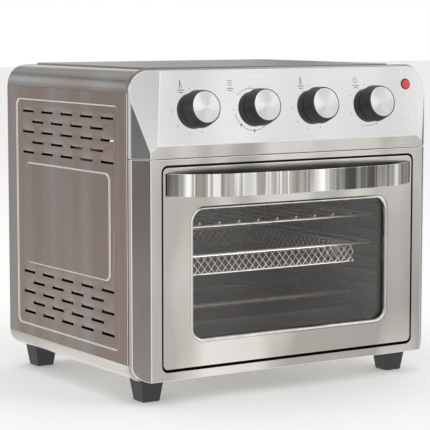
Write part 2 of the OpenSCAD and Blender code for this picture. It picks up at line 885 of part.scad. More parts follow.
module cavity_flange() {
    color(BLACK) difference() {
        along_y(flange_d, cav_d0) intersection() {
            body_outline(rim_inset + sheet);
            band(base_z, seam_z - 2);
        }
        along_y(flange_d - 1, cav_d0 + 1) translate([-cavity_half, floor_z])
            square([2 * cavity_half, ceil_z - floor_z]);
        for (s = [-1, 1]) translate([s * stay_x - 2, dy(flange_d - 1), hinge_z + stay_r0 - 4])
            cube([4, flange_t + 2, stay_r1 - stay_r0 + 4]);
    }
}

module heater_holes(x, r) {
    for (d = [heat_front_d, heat_rear_d], z = [heat_low_z, heat_top_z])
        translate([x, dy(d), z]) rotate([0, 90, 0]) cylinder(r = r, h = 6, center = true);
}

module cavity_wall() {
    difference() {
        union() {
            along_x(cavity_half, cavity_half + wall_t) translate([cav_d0, floor_z - wall_t])
                square([cav_d1 + wall_t - cav_d0, ceil_z - floor_z + 2 * wall_t]);
            for (i = [0:rib_count - 1]) translate([0, 0, rib_z0 + i * rib_pitch]) {
                translate([cavity_half - rib_reach + rib_r, dy(rack_d0 - 14), -rib_r])
                    cube([rib_reach - rib_r + eps, rack_d1 - rack_d0 + 20, 2 * rib_r]);
                translate([cavity_half - rib_reach + rib_r, dy(rack_d0 - 14), 0]) rotate([-90, 0, 0])
                    cylinder(r = rib_r, h = rack_d1 - rack_d0 + 20);
            }
        }
        heater_holes(cavity_half, heater_r + 0.6);
    }
}

module cavity_wall_right() {
    color(DARK_STEEL) cavity_wall();
}

module cavity_wall_left() {
    color(DARK_STEEL) mirror([1, 0, 0]) cavity_wall();
}

module cavity_floor() {
    color(DARK_STEEL) translate([-cavity_half, dy(cav_d0), floor_z - wall_t])
        cube([2 * cavity_half, cav_d1 - cav_d0, wall_t]);
}

module cavity_ceiling() {
    color(DARK_STEEL) difference() {
        translate([-cavity_half, dy(cav_d0), ceil_z]) cube([2 * cavity_half, cav_d1 - cav_d0, wall_t]);
        translate([0, dy(fan_d), ceil_z - 1]) cylinder(r = spindle_r + 4, h = 4);
    }
}

module cavity_back() {
    color(DARK_STEEL) translate([-cavity_half, dy(cav_d1), floor_z - wall_t])
        cube([2 * cavity_half, wall_t, ceil_z - floor_z + 2 * wall_t]);
}

heater_out = 13;

module heater_pair(z) {
    color(DARK_STEEL) for (d = [heat_front_d, heat_rear_d])
        translate([-cavity_half - heater_out, dy(d), z]) rotate([0, 90, 0])
            cylinder(r = heater_r, h = 2 * (cavity_half + heater_out));
}

module upper_heaters() {
    heater_pair(heat_top_z);
}

module lower_heaters() {
    heater_pair(heat_low_z);
}

module heater_insulators() {
    color([0.93, 0.91, 0.86]) on_both_sides()
        for (d = [heat_front_d, heat_rear_d], z = [heat_low_z, heat_top_z])
            translate([cavity_half + wall_t, dy(d), z]) rotate([0, 90, 0]) difference() {
                cylinder(r = heater_r + 3.5, h = 9);
                translate([0, 0, -1]) cylinder(r = heater_r + 0.05, h = 12);
            }
}

guard_r = fan_r + 10;
guard_drop = 15;

module fan_guard() {
    color(DARK_STEEL) translate([0, dy(fan_d), ceil_z - guard_drop]) difference() {
        cylinder(r = guard_r, h = guard_drop);
        translate([0, 0, 1]) cylinder(r = guard_r - 1, h = guard_drop);
        for (ring = [1:4], k = [0:6 * ring - 1]) rotate([0, 0, k * 60 / ring])
            translate([ring * (guard_r - 12) / 4, 0, -1]) cylinder(r = 4.5, h = 3);
    }
}

module fan_wheel() {
    color(ZINC) translate([0, dy(fan_d), fan_z]) {
        cylinder(r = 10, h = 4);
        for (k = [0:5]) rotate([0, 0, 60 * k]) translate([8, 0, 0]) rotate([-28, 0, 0]) translate([0, -7, 0])
            cube([fan_r - 9, 14, 1.2]);
        cylinder(r = spindle_r, h = shield_z + 28 - fan_z);
    }
}

motor_r = 30;
motor_h = 34;

module fan_motor() {
    color(ZINC) translate([0, dy(fan_d), shield_z + 1.2]) difference() {
        union() {
            translate([-40, -14, 0]) cube([80, 28, 2]);
            translate([0, 0, 2 - eps]) cylinder(r = motor_r, h = motor_h);
            translate([-24, -20, 6]) cube([48, 40, 20]);
        }
        translate([0, 0, -1]) cylinder(r = spindle_r + pin_fit, h = 30);
    }
}

module heat_shield() {
    color(ZINC) difference() {
        translate([-half + 12, dy(cav_d0 + 36), shield_z]) cube([body_w - 24, cav_d1 - cav_d0 - 40, 1.2]);
        translate([0, dy(fan_d), shield_z - 1]) cylinder(r = spindle_r + 4, h = 4);
    }
}

wire_r = 1.5;
loom_x = half - 18;
loom_z = shield_z + 6;

// Leads from just above the gland up behind the cavity, over the heat shield and forward to each control
module wiring_loom() {
    rise_d = (cav_d1 + wall_t + back_d) / 2;
    color([0.75, 0.72, 0.66]) for (i = [0:3]) {
        x = loom_x - 4 * i;
        z = loom_z + 3.4 * i;
        side = i - 1.5;
        reach = 62 + 4 * i;
        tube([[gland_x + 6 - 3 * side, dy(rise_d), gland_z + gland_r + 7], [x, dy(rise_d), gland_z + 60],
            [x, dy(rise_d), z - 14], [x, dy(rise_d - 4), z - 4],
            [x, dy(rise_d - 14), z], [x, dy(reach + 14), z], [x - 4, dy(reach + 4), z],
            [x - 14, dy(reach), z], [dial_x(3 - i) + 20, dy(reach), z],
            [dial_x(3 - i) + 8, dy(reach), z + 6], [dial_x(3 - i), dy(reach), z + 14]], wire_r, 8);
    }
}

// --- Shelves ------------------------------------------------------------------------------------------

// Round wire bent to a rectangle with rounded corners, lying at height z
module wire_loop(hw, d0, d1, r, wire, z) {
    translate([0, face_y, z]) {
        for (s = [-1, 1]) translate([s * hw, d0 + r, 0]) rotate([-90, 0, 0])
            cylinder(r = wire, h = d1 - d0 - 2 * r);
        for (d = [d0, d1]) translate([-hw + r, d, 0]) rotate([0, 90, 0]) cylinder(r = wire, h = 2 * (hw - r));
        for (c = [[1, d1 - r, 0], [-1, d1 - r, 90], [-1, d0 + r, 180], [1, d0 + r, 270]])
            translate([c[0] * (hw - r), c[1], 0]) rotate([0, 0, c[2]]) rotate_extrude(angle = 90)
                translate([r, 0]) circle(wire);
    }
}

cross_pitch = 26.3;
cross_count = 2 * floor((rack_half - 12) / cross_pitch);

module wire_rack() {
    color(STEEL) {
        wire_loop(rack_half, rack_d0, rack_d1, 8, rack_wire, rack_z);
        for (i = [0:cross_count - 1]) translate([(i - (cross_count - 1) / 2) * cross_pitch,
            dy(rack_d0 - 2.5), rack_z + rack_wire + rack_cross - 0.15]) rotate([-90, 0, 0])
                cylinder(r = rack_cross, h = rack_d1 - rack_d0 + 5);
    }
}

basket_wall = 1.2;

// Frying basket: a tub that hangs from a wire frame, which rests on the ribs
module fry_basket() {
    d0 = rack_d0;
    d1 = rack_d1 - 4;
    color(STEEL) {
        translate([0, face_y, basket_z - basket_h]) difference() {
            linear_extrude(basket_h - 0.6) rounded(-basket_half, basket_half, d0, d1, basket_r);
            translate([0, 0, basket_wall]) linear_extrude(basket_h)
                rounded(-basket_half + basket_wall, basket_half - basket_wall, d0 + basket_wall,
                    d1 - basket_wall, basket_r - basket_wall);
        }
        wire_loop(rack_half, d0 + 0.5, d1 - 0.5, 8, rack_wire, basket_z);
        for (s = [-1, 1]) translate([s * (basket_half - 0.5), dy(d0 + 0.5), basket_z]) rotate([-90, 0, 0])
            cylinder(r = rack_cross, h = d1 - d0 - 1);
    }
}

tray_lip = 13.5;
tray_side = 8;

module crumb_tray() {
    z = floor_z + touch;
    color(DARK_STEEL) difference() {
        union() {
            translate([-tray_half, dy(tray_d0), z]) cube([2 * tray_half, tray_d1 - tray_d0, tray_side]);
            translate([-tray_half, dy(tray_d0), z]) cube([2 * tray_half, 1, tray_lip]);
            translate([-tray_half, dy(tray_d0 - 5), z + tray_lip - 1]) cube([2 * tray_half, 6, 1]);
        }
        translate([-tray_half + 1, dy(tray_d0 + 1), z + 1])
            cube([2 * tray_half - 2, tray_d1 - tray_d0 - 2, tray_side]);
    }
}

// --- Assembly -------------------------------------------------------------------------------------------

top_cover();
side_panel_left();
side_panel_right();
base_pan();
back_cover();
wall_spacers();
cord_gland();
foot(0);  // foot_front_left
foot(1);  // foot_front_right
foot(2);  // foot_rear_left
foot(3);  // foot_rear_right
case_screws();
front_frame();
control_panel();
switch_bracket();
fry_thermostat();
function_switch();
oven_thermostat();
timer();
indicator_lens();
indicator_lamp();
cavity_flange();
cavity_wall_left();
cavity_wall_right();
cavity_floor();
cavity_ceiling();
cavity_back();
upper_heaters();
lower_heaters();
heater_insulators();
fan_guard();
fan_motor();
heat_shield();
hinge_brackets();
door_springs();
wiring_loom();
door_skin();
door_inner_frame();
door_glass();
glass_gasket();
handle_plate();
handle_core();
hinge_pins();
door_stays();
dial(0);  // fry_dial
dial(1);  // function_dial
dial(2);  // oven_dial
dial(3);  // timer_dial
dial_cap(0);  // fry_dial_cap
dial_cap(1);  // function_dial_cap
dial_cap(2);  // oven_dial_cap
dial_cap(3);  // timer_dial_cap
spindle(0);  // fry_spindle
spindle(1);  // function_spindle
spindle(2);  // oven_spindle
spindle(3);  // timer_spindle
fan_wheel();
wire_rack();
fry_basket();
crumb_tray();
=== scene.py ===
"""Finishes the toaster oven: soft edges on the sheet metal, dials, handle, wire basket, print and materials."""

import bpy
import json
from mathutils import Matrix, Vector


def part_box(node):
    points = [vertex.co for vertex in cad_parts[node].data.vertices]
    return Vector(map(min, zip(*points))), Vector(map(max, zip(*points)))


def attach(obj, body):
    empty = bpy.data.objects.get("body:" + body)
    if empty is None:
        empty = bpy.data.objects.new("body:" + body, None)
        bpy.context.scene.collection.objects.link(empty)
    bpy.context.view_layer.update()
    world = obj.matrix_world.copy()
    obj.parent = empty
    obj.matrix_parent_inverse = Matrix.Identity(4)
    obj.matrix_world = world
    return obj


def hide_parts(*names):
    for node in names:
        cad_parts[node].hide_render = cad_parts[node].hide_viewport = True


bl_info = {
    "name": "Toaster Oven Finish",
    "version": (1, 0, 0),
    "blender": (4, 5, 0),
    "location": "View3D > Sidebar > Toaster Oven",
    "description": "Builds the visible finish of a countertop toaster oven around its CAD frame",
    "category": "Object",
}

import json
import math

import bmesh
import bpy
from bpy.props import FloatProperty, FloatVectorProperty, IntProperty, PointerProperty
from mathutils import Matrix, Vector

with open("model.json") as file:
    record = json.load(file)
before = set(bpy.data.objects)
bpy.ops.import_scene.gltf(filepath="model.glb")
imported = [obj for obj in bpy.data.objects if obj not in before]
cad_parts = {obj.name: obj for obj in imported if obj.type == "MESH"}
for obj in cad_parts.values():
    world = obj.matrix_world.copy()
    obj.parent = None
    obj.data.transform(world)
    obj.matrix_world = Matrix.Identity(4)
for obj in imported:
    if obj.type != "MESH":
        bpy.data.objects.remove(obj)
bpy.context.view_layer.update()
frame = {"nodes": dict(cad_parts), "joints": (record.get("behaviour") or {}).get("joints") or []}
MM = 0.001
DIALS = ("fry", "function", "oven", "timer")
# Least and greatest height of a step pressed into a side panel, and how deep in the case it may lie
STEP_HEIGHTS = (1 * MM, 2.5 * MM)
STEP_REACH = 3.4 * MM
# How far the seal reaches past the window's edge, the bead from that edge, and the window's corner radius
SEAL_LAP = 3.5 * MM
BEAD_INSET = 1.9 * MM
WINDOW_CORNER = 17 * MM
# Radius of the basket's rim wire, and half the distance between its two upper bars
BASKET_WIRE = 1.75 * MM
BASKET_HALF = 126 * MM
# Heights on a dial's axis between which the groove lies, painted black as shade
GROOVE = (12.7 * MM, 15.7 * MM)
# Radii of the marks round a dial, in millimetres
TICK_RADIUS = 24.6
RING_RADIUS = 23.4
TIMER_ARC_RADIUS = 23.0


def linear(code):
    """An sRGB hex colour as linear red, green, blue and alpha."""
    parts = [int(code[i:i + 2], 16) / 255 for i in (1, 3, 5)]
    return [c / 12.92 if c <= 0.04045 else ((c + 0.055) / 1.055) ** 2.4 for c in parts] + [1.0]


def colour(name, text, code):
    return FloatVectorProperty(name=name, description=text, default=linear(code), size=4, min=0.0, max=1.0,
                               subtype="COLOR")


def length(name, text, value, low=0.0, high=1.0):
    return FloatProperty(name=name, description=text, default=value, min=low, max=high, unit="LENGTH")


# --- What a user may change ---------------------------------------------------------------------


class OvenColours(bpy.types.PropertyGroup):
    # Painted light and shade: the case and top take dark tones of the same brushed stainless, and the frame, door
    # and panel take bright ones, for how the light falls on each face. The dark band tones are the low ends of
    # painted reflection bands.
    side_steel: colour("Side steel", "Brushed steel of the case", "#9b9692")
    side_steel_dark: colour("Side steel, dark band", "Darker bands of the brushed case", "#928379")
    top_steel: colour("Top steel", "Brushed steel of the top cover", "#9d9b99")
    top_steel_dark: colour("Top steel, dark band", "Darker bands of the top cover", "#918b86")
    front_steel: colour("Front steel", "Brushed steel of the frame and door", "#efebe5")
    front_steel_dark: colour("Front steel, dark band", "Darker bands of the frame and door", "#bbb7b0")
    panel_steel: colour("Panel steel", "Brushed steel of the control panel", "#e8e8e8")
    panel_steel_dark: colour("Panel steel, dark band", "Darker bands of the control panel", "#d9d9d9")
    dial_black: colour("Dial", "Moulded plastic of the dials", "#2b2b2b")
    cap_metal: colour("Dial cap", "Spun aluminium of the dial caps", "#dcdcdb")
    glass: colour("Glass", "Tint of the smoked window", "#e6e2dd")
    lens: colour("Lamp lens", "Red lens of the indicator", "#d8262c")
    print_ink: colour("Print", "Ink of the marks on the panel", "#8b8b8b")


class OvenSizes(bpy.types.PropertyGroup):
    sheet_edge: length("Sheet edge", "Radius of the folded sheet edges", 0.6 * MM, 0.0001, 0.002)
    mesh_pitch: length("Mesh pitch", "Width of one diamond of the basket mesh", 9.4 * MM, 0.004, 0.02)
    mesh_wire: length("Mesh wire", "Thickness of the basket mesh wire", 1.0 * MM, 0.0005, 0.002)
    grip_ribs: IntProperty(name="Grip ribs", description="Fine ribs round a dial", default=72, min=24,
                           max=120)
    rim_bead: length("Window bead", "Radius of the rolled bead round the window", 1.9 * MM, 0.001, 0.004)
    press_radius: length("Press radius", "Radius of the edges pressed into the side panels", 0.7 * MM,
                         0.0002, 0.001)
    print_line: length("Print line", "Width of the lines printed on the panel", 0.55 * MM, 0.0002, 0.002)


# --- Materials ------------------------------------------------------------------------------------


def add(tree, kind, inputs=None, **settings):
    """Adds a node, sets its properties, and sets or links its inputs."""
    node = tree.nodes.new(kind)
    for key, value in settings.items():
        setattr(node, key, value)
    for key, value in (inputs or {}).items():
        if isinstance(value, bpy.types.NodeSocket):
            tree.links.new(value, node.inputs[key])
        else:
            node.inputs[key].default_value = value
    return node


def new_material(name, **constants):
    """A material with one Principled shader whose constant inputs are set."""
    made = bpy.data.materials.new(name)
    made.use_nodes = True
    tree = made.node_tree
    tree.nodes.clear()
    shader = add(tree, "ShaderNodeBsdfPrincipled", {k.replace("_", " "): v for k, v in constants.items()})
    output = add(tree, "ShaderNodeOutputMaterial")
    tree.links.new(shader.outputs["BSDF"], output.inputs["Surface"])
    return made, tree, shader


def pattern(tree, scale, kind="ShaderNodeTexNoise", **inputs):
    """A texture on object coordinates; scale is features per metre along X, Y and Z."""
    place = add(tree, "ShaderNodeTexCoord")
    stretch = add(tree, "ShaderNodeMapping", {"Vector": place.outputs["Object"], "Scale": scale})
    return add(tree, kind, {"Vector": stretch.outputs["Vector"], "Scale": 1.0, **inputs})


def ramp(tree, value, stops):
    """A colour ramp over a value; stops are (place, colour)."""
    node = add(tree, "ShaderNodeValToRGB", {"Fac": value})
    points = node.color_ramp.elements
    while len(points) < len(stops):
        points.new(0.5)
    for point, (place, tone) in zip(points, stops):
        point.position = place
        point.color = tone
    return node.outputs["Color"]


def grey(level):
    return (level, level, level, 1.0)


def bump(tree, shader, height, depth, strength=1.0):
    node = add(tree, "ShaderNodeBump", {"Height": height, "Distance": depth, "Strength": strength})
    tree.links.new(node.outputs["Normal"], shader.inputs["Normal"])


def roughness(tree, shader, value, low, high):
    spread = add(tree, "ShaderNodeMapRange", {"Value": value, "To Min": low, "To Max": high})
    tree.links.new(spread.outputs["Result"], shader.inputs["Roughness"])


def brushed_steel(name, high, low, band, grain, rough=(0.12, 0.2)):
    """Stainless sheet, brushed: broad soft bands across the grain, painted into the colour as reflections, and fine
    drawn scratches along it.

    high and low are the tones where the noise of the bands is high and low. band and grain are features
    per metre along X, Y and Z; the grain is long where its number is small."""
    made, tree, shader = new_material(name, Metallic=1.0)
    # Painted reflection: the broad bands of tone stand for streaks of the studio mirrored in the steel.
    bands = pattern(tree, band, Detail=1.0, Roughness=0.4)
    base = ramp(tree, bands.outputs["Fac"], [(0.38, low), (0.62, high)])
    scratches = pattern(tree, grain, Detail=3.0, Roughness=0.6)
    streak = ramp(tree, scratches.outputs["Fac"], [(0.3, grey(0.93)), (0.7, grey(1.0))])
    mix = add(tree, "ShaderNodeMix", {"Factor": 1.0}, data_type="RGBA", blend_type="MULTIPLY")
    tree.links.new(base, mix.inputs[6])
    tree.links.new(streak, mix.inputs[7])
    tree.links.new(mix.outputs[2], shader.inputs["Base Color"])
    roughness(tree, shader, scratches.outputs["Fac"], *rough)
    bump(tree, shader, scratches.outputs["Fac"], 0.02 * MM, 0.6)
    return made


def shaded(tone, share):
    """A tone made darker, as a share of itself."""
    return [c * share for c in tone[:3]] + [1]


def moulded_plastic(name, tone, rough=0.45, grain_mm=0.6, depth_mm=0.03, coat=0.0):
    """Injection-moulded plastic with a fine spark-eroded grain, which breaks up its highlights."""
    made, tree, shader = new_material(name, IOR=1.5, Coat_Weight=coat)
    grains = pattern(tree, [1 / (grain_mm * MM)] * 3, Detail=2.0)
    shades = ramp(tree, grains.outputs["Fac"], [(0.3, shaded(tone, 0.85)), (0.7, tone)])
    tree.links.new(shades, shader.inputs["Base Color"])
    roughness(tree, shader, grains.outputs["Fac"], rough - 0.06, rough + 0.08)
    bump(tree, shader, grains.outputs["Fac"], depth_mm * MM, 0.5)
    return made


def sheet_metal(name, tone, rough=0.35, metallic=1.0, spangle_mm=9.0, depth=0.1):
    """Plated or enamelled sheet: large faint patches of tone and an uneven gloss."""
    made, tree, shader = new_material(name, Metallic=metallic)
    cloud = pattern(tree, [1 / (spangle_mm * MM)] * 3, Detail=3.0)
    low = shaded(tone, 1 - depth)
    tree.links.new(ramp(tree, cloud.outputs["Fac"], [(0.35, low), (0.65, tone)]), shader.inputs["Base Color"])
    roughness(tree, shader, cloud.outputs["Fac"], rough - 0.07, rough + 0.08)
    return made


def polished_steel(name, streaks=False):
    """Mirror-polished steel. With streaks, uneven bright and dark bands along Z are painted on a wide strip as
    reflections; without, a faint random tone from buffing.
    """
    made, tree, shader = new_material(name, Metallic=1.0, Roughness=0.05 if streaks else 0.12)
    if streaks:
        # Painted reflection: the bright and dark streaks of the handle strip stand for the studio mirrored in it.
        buffing_and_reflection = pattern(tree, (30, 1, 0.5), Detail=4.0, Roughness=0.55)
        stops = [(0.34, linear("#75726f")), (0.40, linear("#a39a90")), (0.44, linear("#b9b5b0")),
                 (0.46, linear("#f7f6f3")), (0.485, linear("#a8a39e")), (0.53, linear("#c4c0ba")),
                 (0.55, linear("#fbfaf8")), (0.62, linear("#e6e3de")), (0.64, linear("#a5a5a0")),
                 (0.72, linear("#83827e"))]
    else:
        buffing_and_reflection = pattern(tree, (90, 90, 4), Detail=3.0, Roughness=0.65)
        stops = [(0.3, linear("#d5d3cf")), (0.7, linear("#f2f1ef"))]
    tree.links.new(ramp(tree, buffing_and_reflection.outputs["Fac"], stops), shader.inputs["Base Color"])
    return made


def smoked_glass(name, tone):
    """Tempered soda-lime glass, lightly smoked: clear, glossy, and a little browner than the air."""
    made, tree, shader = new_material(name, IOR=1.5, Roughness=0.0, Transmission_Weight=1.0)
    haze = pattern(tree, (9, 9, 5), Detail=1.0)
    low = shaded(tone, 0.92)
    tree.links.new(ramp(tree, haze.outputs["Fac"], [(0.35, low), (0.65, tone)]), shader.inputs["Base Color"])
    return made


def spun_aluminium(name, tone, centre, axis):
    """Turned aluminium disc: concentric tool marks, which spread each highlight into a pair of wedges."""
    made, tree, shader = new_material(name, Metallic=1.0, Roughness=0.24, Anisotropic=0.85)
    place = add(tree, "ShaderNodeTexCoord")
    reach = add(tree, "ShaderNodeVectorMath", {0: place.outputs["Object"], 1: centre}, operation="SUBTRACT")
    round_way = add(tree, "ShaderNodeVectorMath", {0: axis, 1: reach.outputs["Vector"]},
                    operation="CROSS_PRODUCT")
    along = add(tree, "ShaderNodeVectorMath", {0: round_way.outputs["Vector"]}, operation="NORMALIZE")
    tree.links.new(along.outputs["Vector"], shader.inputs["Tangent"])
    radius = add(tree, "ShaderNodeVectorMath", {0: reach.outputs["Vector"]}, operation="LENGTH")
    marks = add(tree, "ShaderNodeMath", {0: radius.outputs["Value"], 1: 2 * math.pi / (0.5 * MM)},
                operation="MULTIPLY")
    wave = add(tree, "ShaderNodeMath", {0: marks.outputs["Value"]}, operation="SINE")
    low = shaded(tone, 0.94)
    level = add(tree, "ShaderNodeMapRange", {"Value": wave.outputs["Value"], "From Min": -1.0})
    tree.links.new(ramp(tree, level.outputs["Result"], [(0.0, low), (1.0, tone)]),
                   shader.inputs["Base Color"])
    return made


def signal_lens(name, tone):
    """Injection-moulded acrylic lens, transparent red, glossy, with a faint glow of its own colour."""
    made, tree, shader = new_material(name, IOR=1.49, Roughness=0.12, Coat_Weight=0.6, Emission_Strength=0.35,
                                      Emission_Color=tone)
    facets = pattern(tree, [900] * 3, kind="ShaderNodeTexVoronoi")
    low = shaded(tone, 0.55)
    tree.links.new(ramp(tree, facets.outputs["Distance"], [(0.0, tone), (0.9, low)]),
                   shader.inputs["Base Color"])
    return made


def woven_sleeve(name, tone):
    """Glass-fibre braid over the leads: a fine crossed weave."""
    made, tree, shader = new_material(name, Roughness=0.8)
    weave = pattern(tree, [1 / (1.2 * MM)] * 3, kind="ShaderNodeTexVoronoi")
    low = shaded(tone, 0.6)
    tree.links.new(ramp(tree, weave.outputs["Distance"], [(0.0, tone), (0.8, low)]),
                   shader.inputs["Base Color"])
    bump(tree, shader, weave.outputs["Distance"], 0.2 * MM, 0.6)
    return made


def printed_ink(name, tone):
    """Screen-printed ink, matt, with the slight mottling of a thin layer."""
    made, tree, shader = new_material(name, Roughness=0.6)
    mottle = pattern(tree, [1 / (0.8 * MM)] * 3, Detail=2.0)
    low = shaded(tone, 0.85)
    tree.links.new(ramp(tree, mottle.outputs["Fac"], [(0.3, low), (0.7, tone)]), shader.inputs["Base Color"])
    return made


def painted_floor(name, tone):
    """Matt studio paint, rolled: a very faint orange-peel."""
    made, tree, shader = new_material(name, Roughness=0.9, Emission_Color=tone, Emission_Strength=0.16)
    peel = pattern(tree, [40] * 3, Detail=2.0)
    low = shaded(tone, 0.99)
    tree.links.new(ramp(tree, peel.outputs["Fac"], [(0.3, low), (0.7, tone)]), shader.inputs["Base Color"])
    return made


FINISHES = {}


def finish(name, make, *args, **options):
    """Makes a material the first time it is asked for."""
    if name not in FINISHES:
        FINISHES[name] = make(name, *args, **options)
    return FINISHES[name]


def colours():
    return bpy.context.scene.oven_colours


def sizes():
    return bpy.context.scene.oven_sizes


# Painted light and shade: the case and top below take darker tones than the base, front and panel, all of one
# brushed stainless.
def side_steel():
    tones = colours()
    return finish("brushed_stainless_case", brushed_steel, tones.side_steel[:], tones.side_steel_dark[:],
                  (2.0, 24, 0.6), (1500, 1500, 8))


def top_steel():
    tones = colours()
    return finish("brushed_stainless_top", brushed_steel, tones.top_steel[:], tones.top_steel_dark[:],
                  (2.0, 10, 0.6), (1500, 1500, 8))


def base_steel():
    """The front's tones, with the grain of the lower wrap."""
    tones = colours()
    return finish("brushed_stainless_base", brushed_steel, tones.front_steel[:], tones.front_steel_dark[:],
                  (3, 3, 30), (1500, 8, 1500))


def plated_wire():
    return finish("nickel_plated_wire", sheet_metal, linear("#f4f2ee"), rough=0.42, spangle_mm=14, depth=0.06)


def front_steel():
    tones = colours()
    return finish("brushed_stainless_front", brushed_steel, tones.front_steel_dark[:], tones.front_steel[:],
                  (14, 3, 5), (8, 1500, 1500))


def panel_steel():
    tones = colours()
    return finish("brushed_stainless_panel", brushed_steel, tones.panel_steel[:], tones.panel_steel_dark[:],
                  (9, 3, 6), (8, 1500, 1500))


def dark_enamel():
    return finish("dark_oven_enamel", sheet_metal, linear("#3a3633"), rough=0.32, metallic=0.35, depth=0.35)


def zinc():
    return finish("zinc_plated_steel", sheet_metal, linear("#b4b6b8"), rough=0.36)


def black_moulding():
    return finish("black_moulded_nylon", moulded_plastic, linear("#343434"), rough=0.5)


# --- Making pieces --------------------------------------------------------------------------------


def piece(name, shape, material, body, smooth=30.0):
    """Turns a bmesh into a finished object that rides on a body."""
    mesh = bpy.data.meshes.new(name)
    shape.to_mesh(mesh)
    shape.free()
    stale = mesh.attributes.get("custom_normal")
    if stale:
        mesh.attributes.remove(stale)
    mesh.materials.clear()
    mesh.materials.append(material)
    mesh.polygons.foreach_set("material_index", [0] * len(mesh.polygons))
    mesh.shade_smooth()
    mesh.set_sharp_from_angle(angle=math.radians(smooth))
    made = bpy.data.objects.new(name, mesh)
    bpy.context.scene.collection.objects.link(made)
    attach(made, body)
    return made


def paint(nodes, material):
    """Gives CAD nodes a material in place of their own."""
    for node in nodes:
        mesh = frame["nodes"][node].data
        if not mesh.materials:
            mesh.materials.append(material)
        for i in range(len(mesh.materials)):
            mesh.materials[i] = material


def faces_out(edge, centre, least=25):
    """True for a convex edge of at least so many degrees, whose two faces look away from the middle."""
    if len(edge.link_faces) != 2 or not edge.is_convex or edge.calc_face_angle(0) < math.radians(least):
        return False
    place = (edge.verts[0].co + edge.verts[1].co) / 2
    return all(face.normal.dot(place - centre) > 0.2 * MM for face in edge.link_faces)


def creased(edge, centre):
    """True for an outward convex fold of 9 degrees or more beside a wide face."""
    wide = any(face.calc_area() >= 1200 * MM * MM for face in edge.link_faces)
    return wide and faces_out(edge, centre, least=9)


# Painted highlight: a near-white steel for rounded edges, which stands for the light they catch.
def edge_highlight():
    return finish("burnished_fold", sheet_metal, linear("#f3f2ef"), rough=0.42, depth=0.03)


def softened(node, name, material, body, edge, segments=3, chosen=faces_out, bright=None, smooth=30.0):
    """A merged copy of a CAD node with its chosen edges rounded, which then stands for the node."""
    shape = bmesh.new()
    shape.from_mesh(frame["nodes"][node].data)
    bmesh.ops.remove_doubles(shape, verts=shape.verts, dist=1e-6)
    bmesh.ops.dissolve_limit(shape, angle_limit=math.radians(0.1), verts=shape.verts, edges=shape.edges)
    weight = shape.edges.layers.float.new("bevel_weight_edge")
    centre = middle(node)
    for line in shape.edges:
        line[weight] = 1.0 if chosen(line, centre) else 0.0
    made = piece(name, shape, material, body, smooth)
    rounding = made.modifiers.new("Folded edge", "BEVEL")
    # Painted highlight: the rounded faces take the bright material.
    if bright:
        made.data.materials.append(bright)
        rounding.material = 1
    rounding.harden_normals = True
    rounding.width = edge
    rounding.segments = segments
    rounding.limit_method = "WEIGHT"
    rounding.use_clamp_overlap = False
    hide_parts(node)
    return made


def middle(node):
    low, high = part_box(node)
    return (low + high) / 2


def dial_frame(which):
    """Matrix whose Z runs out along a dial's spindle from the panel face, and whose Y runs up the panel."""
    joint = next(j for j in frame["joints"] if j["name"] == f"{which}_knob")
    out = -Vector(joint["axis"]).normalized()
    side = Vector((1, 0, 0))
    up = out.cross(side)
    turn = Matrix((side, up, out)).transposed().to_4x4()
    return Matrix.Translation(Vector(joint["pos_m"])) @ turn


def spun(profile, matrix, steps=96):
    """A closed solid of revolution; profile is (radius, height) from the axis outwards and back to it."""
    shape = bmesh.new()
    points = [shape.verts.new((r, 0, z)) for r, z in profile]
    edges = [shape.edges.new(pair) for pair in zip(points, points[1:])]
    bmesh.ops.spin(shape, geom=points + edges, cent=(0, 0, 0), axis=(0, 0, 1), angle=2 * math.pi, steps=steps,
                   use_merge=True)
    bmesh.ops.remove_doubles(shape, verts=shape.verts, dist=1e-6)
    bmesh.ops.recalc_face_normals(shape, faces=shape.faces)
    bmesh.ops.transform(shape, matrix=matrix, verts=shape.verts)
    return shape


def tube_along(points, radius, name, cyclic=False, sides=10):
    """A round bar along points, as a bmesh; made from a bevelled curve."""
    curve = bpy.data.curves.new(name, "CURVE")
    curve.dimensions = "3D"
    curve.bevel_depth = radius
    curve.bevel_resolution = max(1, sides // 4 - 1)
    curve.use_fill_caps = not cyclic
    line = curve.splines.new("POLY")
    line.points.add(len(points) - 1)
    for spot, place in zip(line.points, points):
        spot.co = (*place, 1)
    line.use_cyclic_u = cyclic
    holder = bpy.data.objects.new(name, curve)
    bpy.context.scene.collection.objects.link(holder)
    bpy.context.view_layer.update()
    mesh = bpy.data.meshes.new_from_object(holder.evaluated_get(bpy.context.evaluated_depsgraph_get()))
    bpy.data.objects.remove(holder)
    shape = bmesh.new()
    shape.from_mesh(mesh)
    bpy.data.meshes.remove(mesh)
    bmesh.ops.remove_doubles(shape, verts=shape.verts, dist=1e-6)
    bmesh.ops.recalc_face_normals(shape, faces=shape.faces)
    return shape


def rounded_loop(x, z0, z1, y, radius, steps=14):
    """Points round a rectangle with rounded corners in the plane of the door."""
    corners = ((x - radius, z1 - radius, 0), (-x + radius, z1 - radius, 90), (-x + radius, z0 + radius, 180),
               (x - radius, z0 + radius, 270))
    points = []
    for cx, cz, start in corners:
        for i in range(steps + 1):
            turn = math.radians(start + 90 * i / steps)
            points.append((cx + radius * math.cos(turn), y, cz + radius * math.sin(turn)))
    return points


def joined(shapes):
    """One bmesh that holds several."""
    whole = bmesh.new()
    for shape in shapes:
        mesh = bpy.data.meshes.new("part")
        shape.to_mesh(mesh)
        shape.free()
        whole.from_mesh(mesh)
        bpy.data.meshes.remove(mesh)
    return whole


# --- Stage ----------------------------------------------------------------------------------------


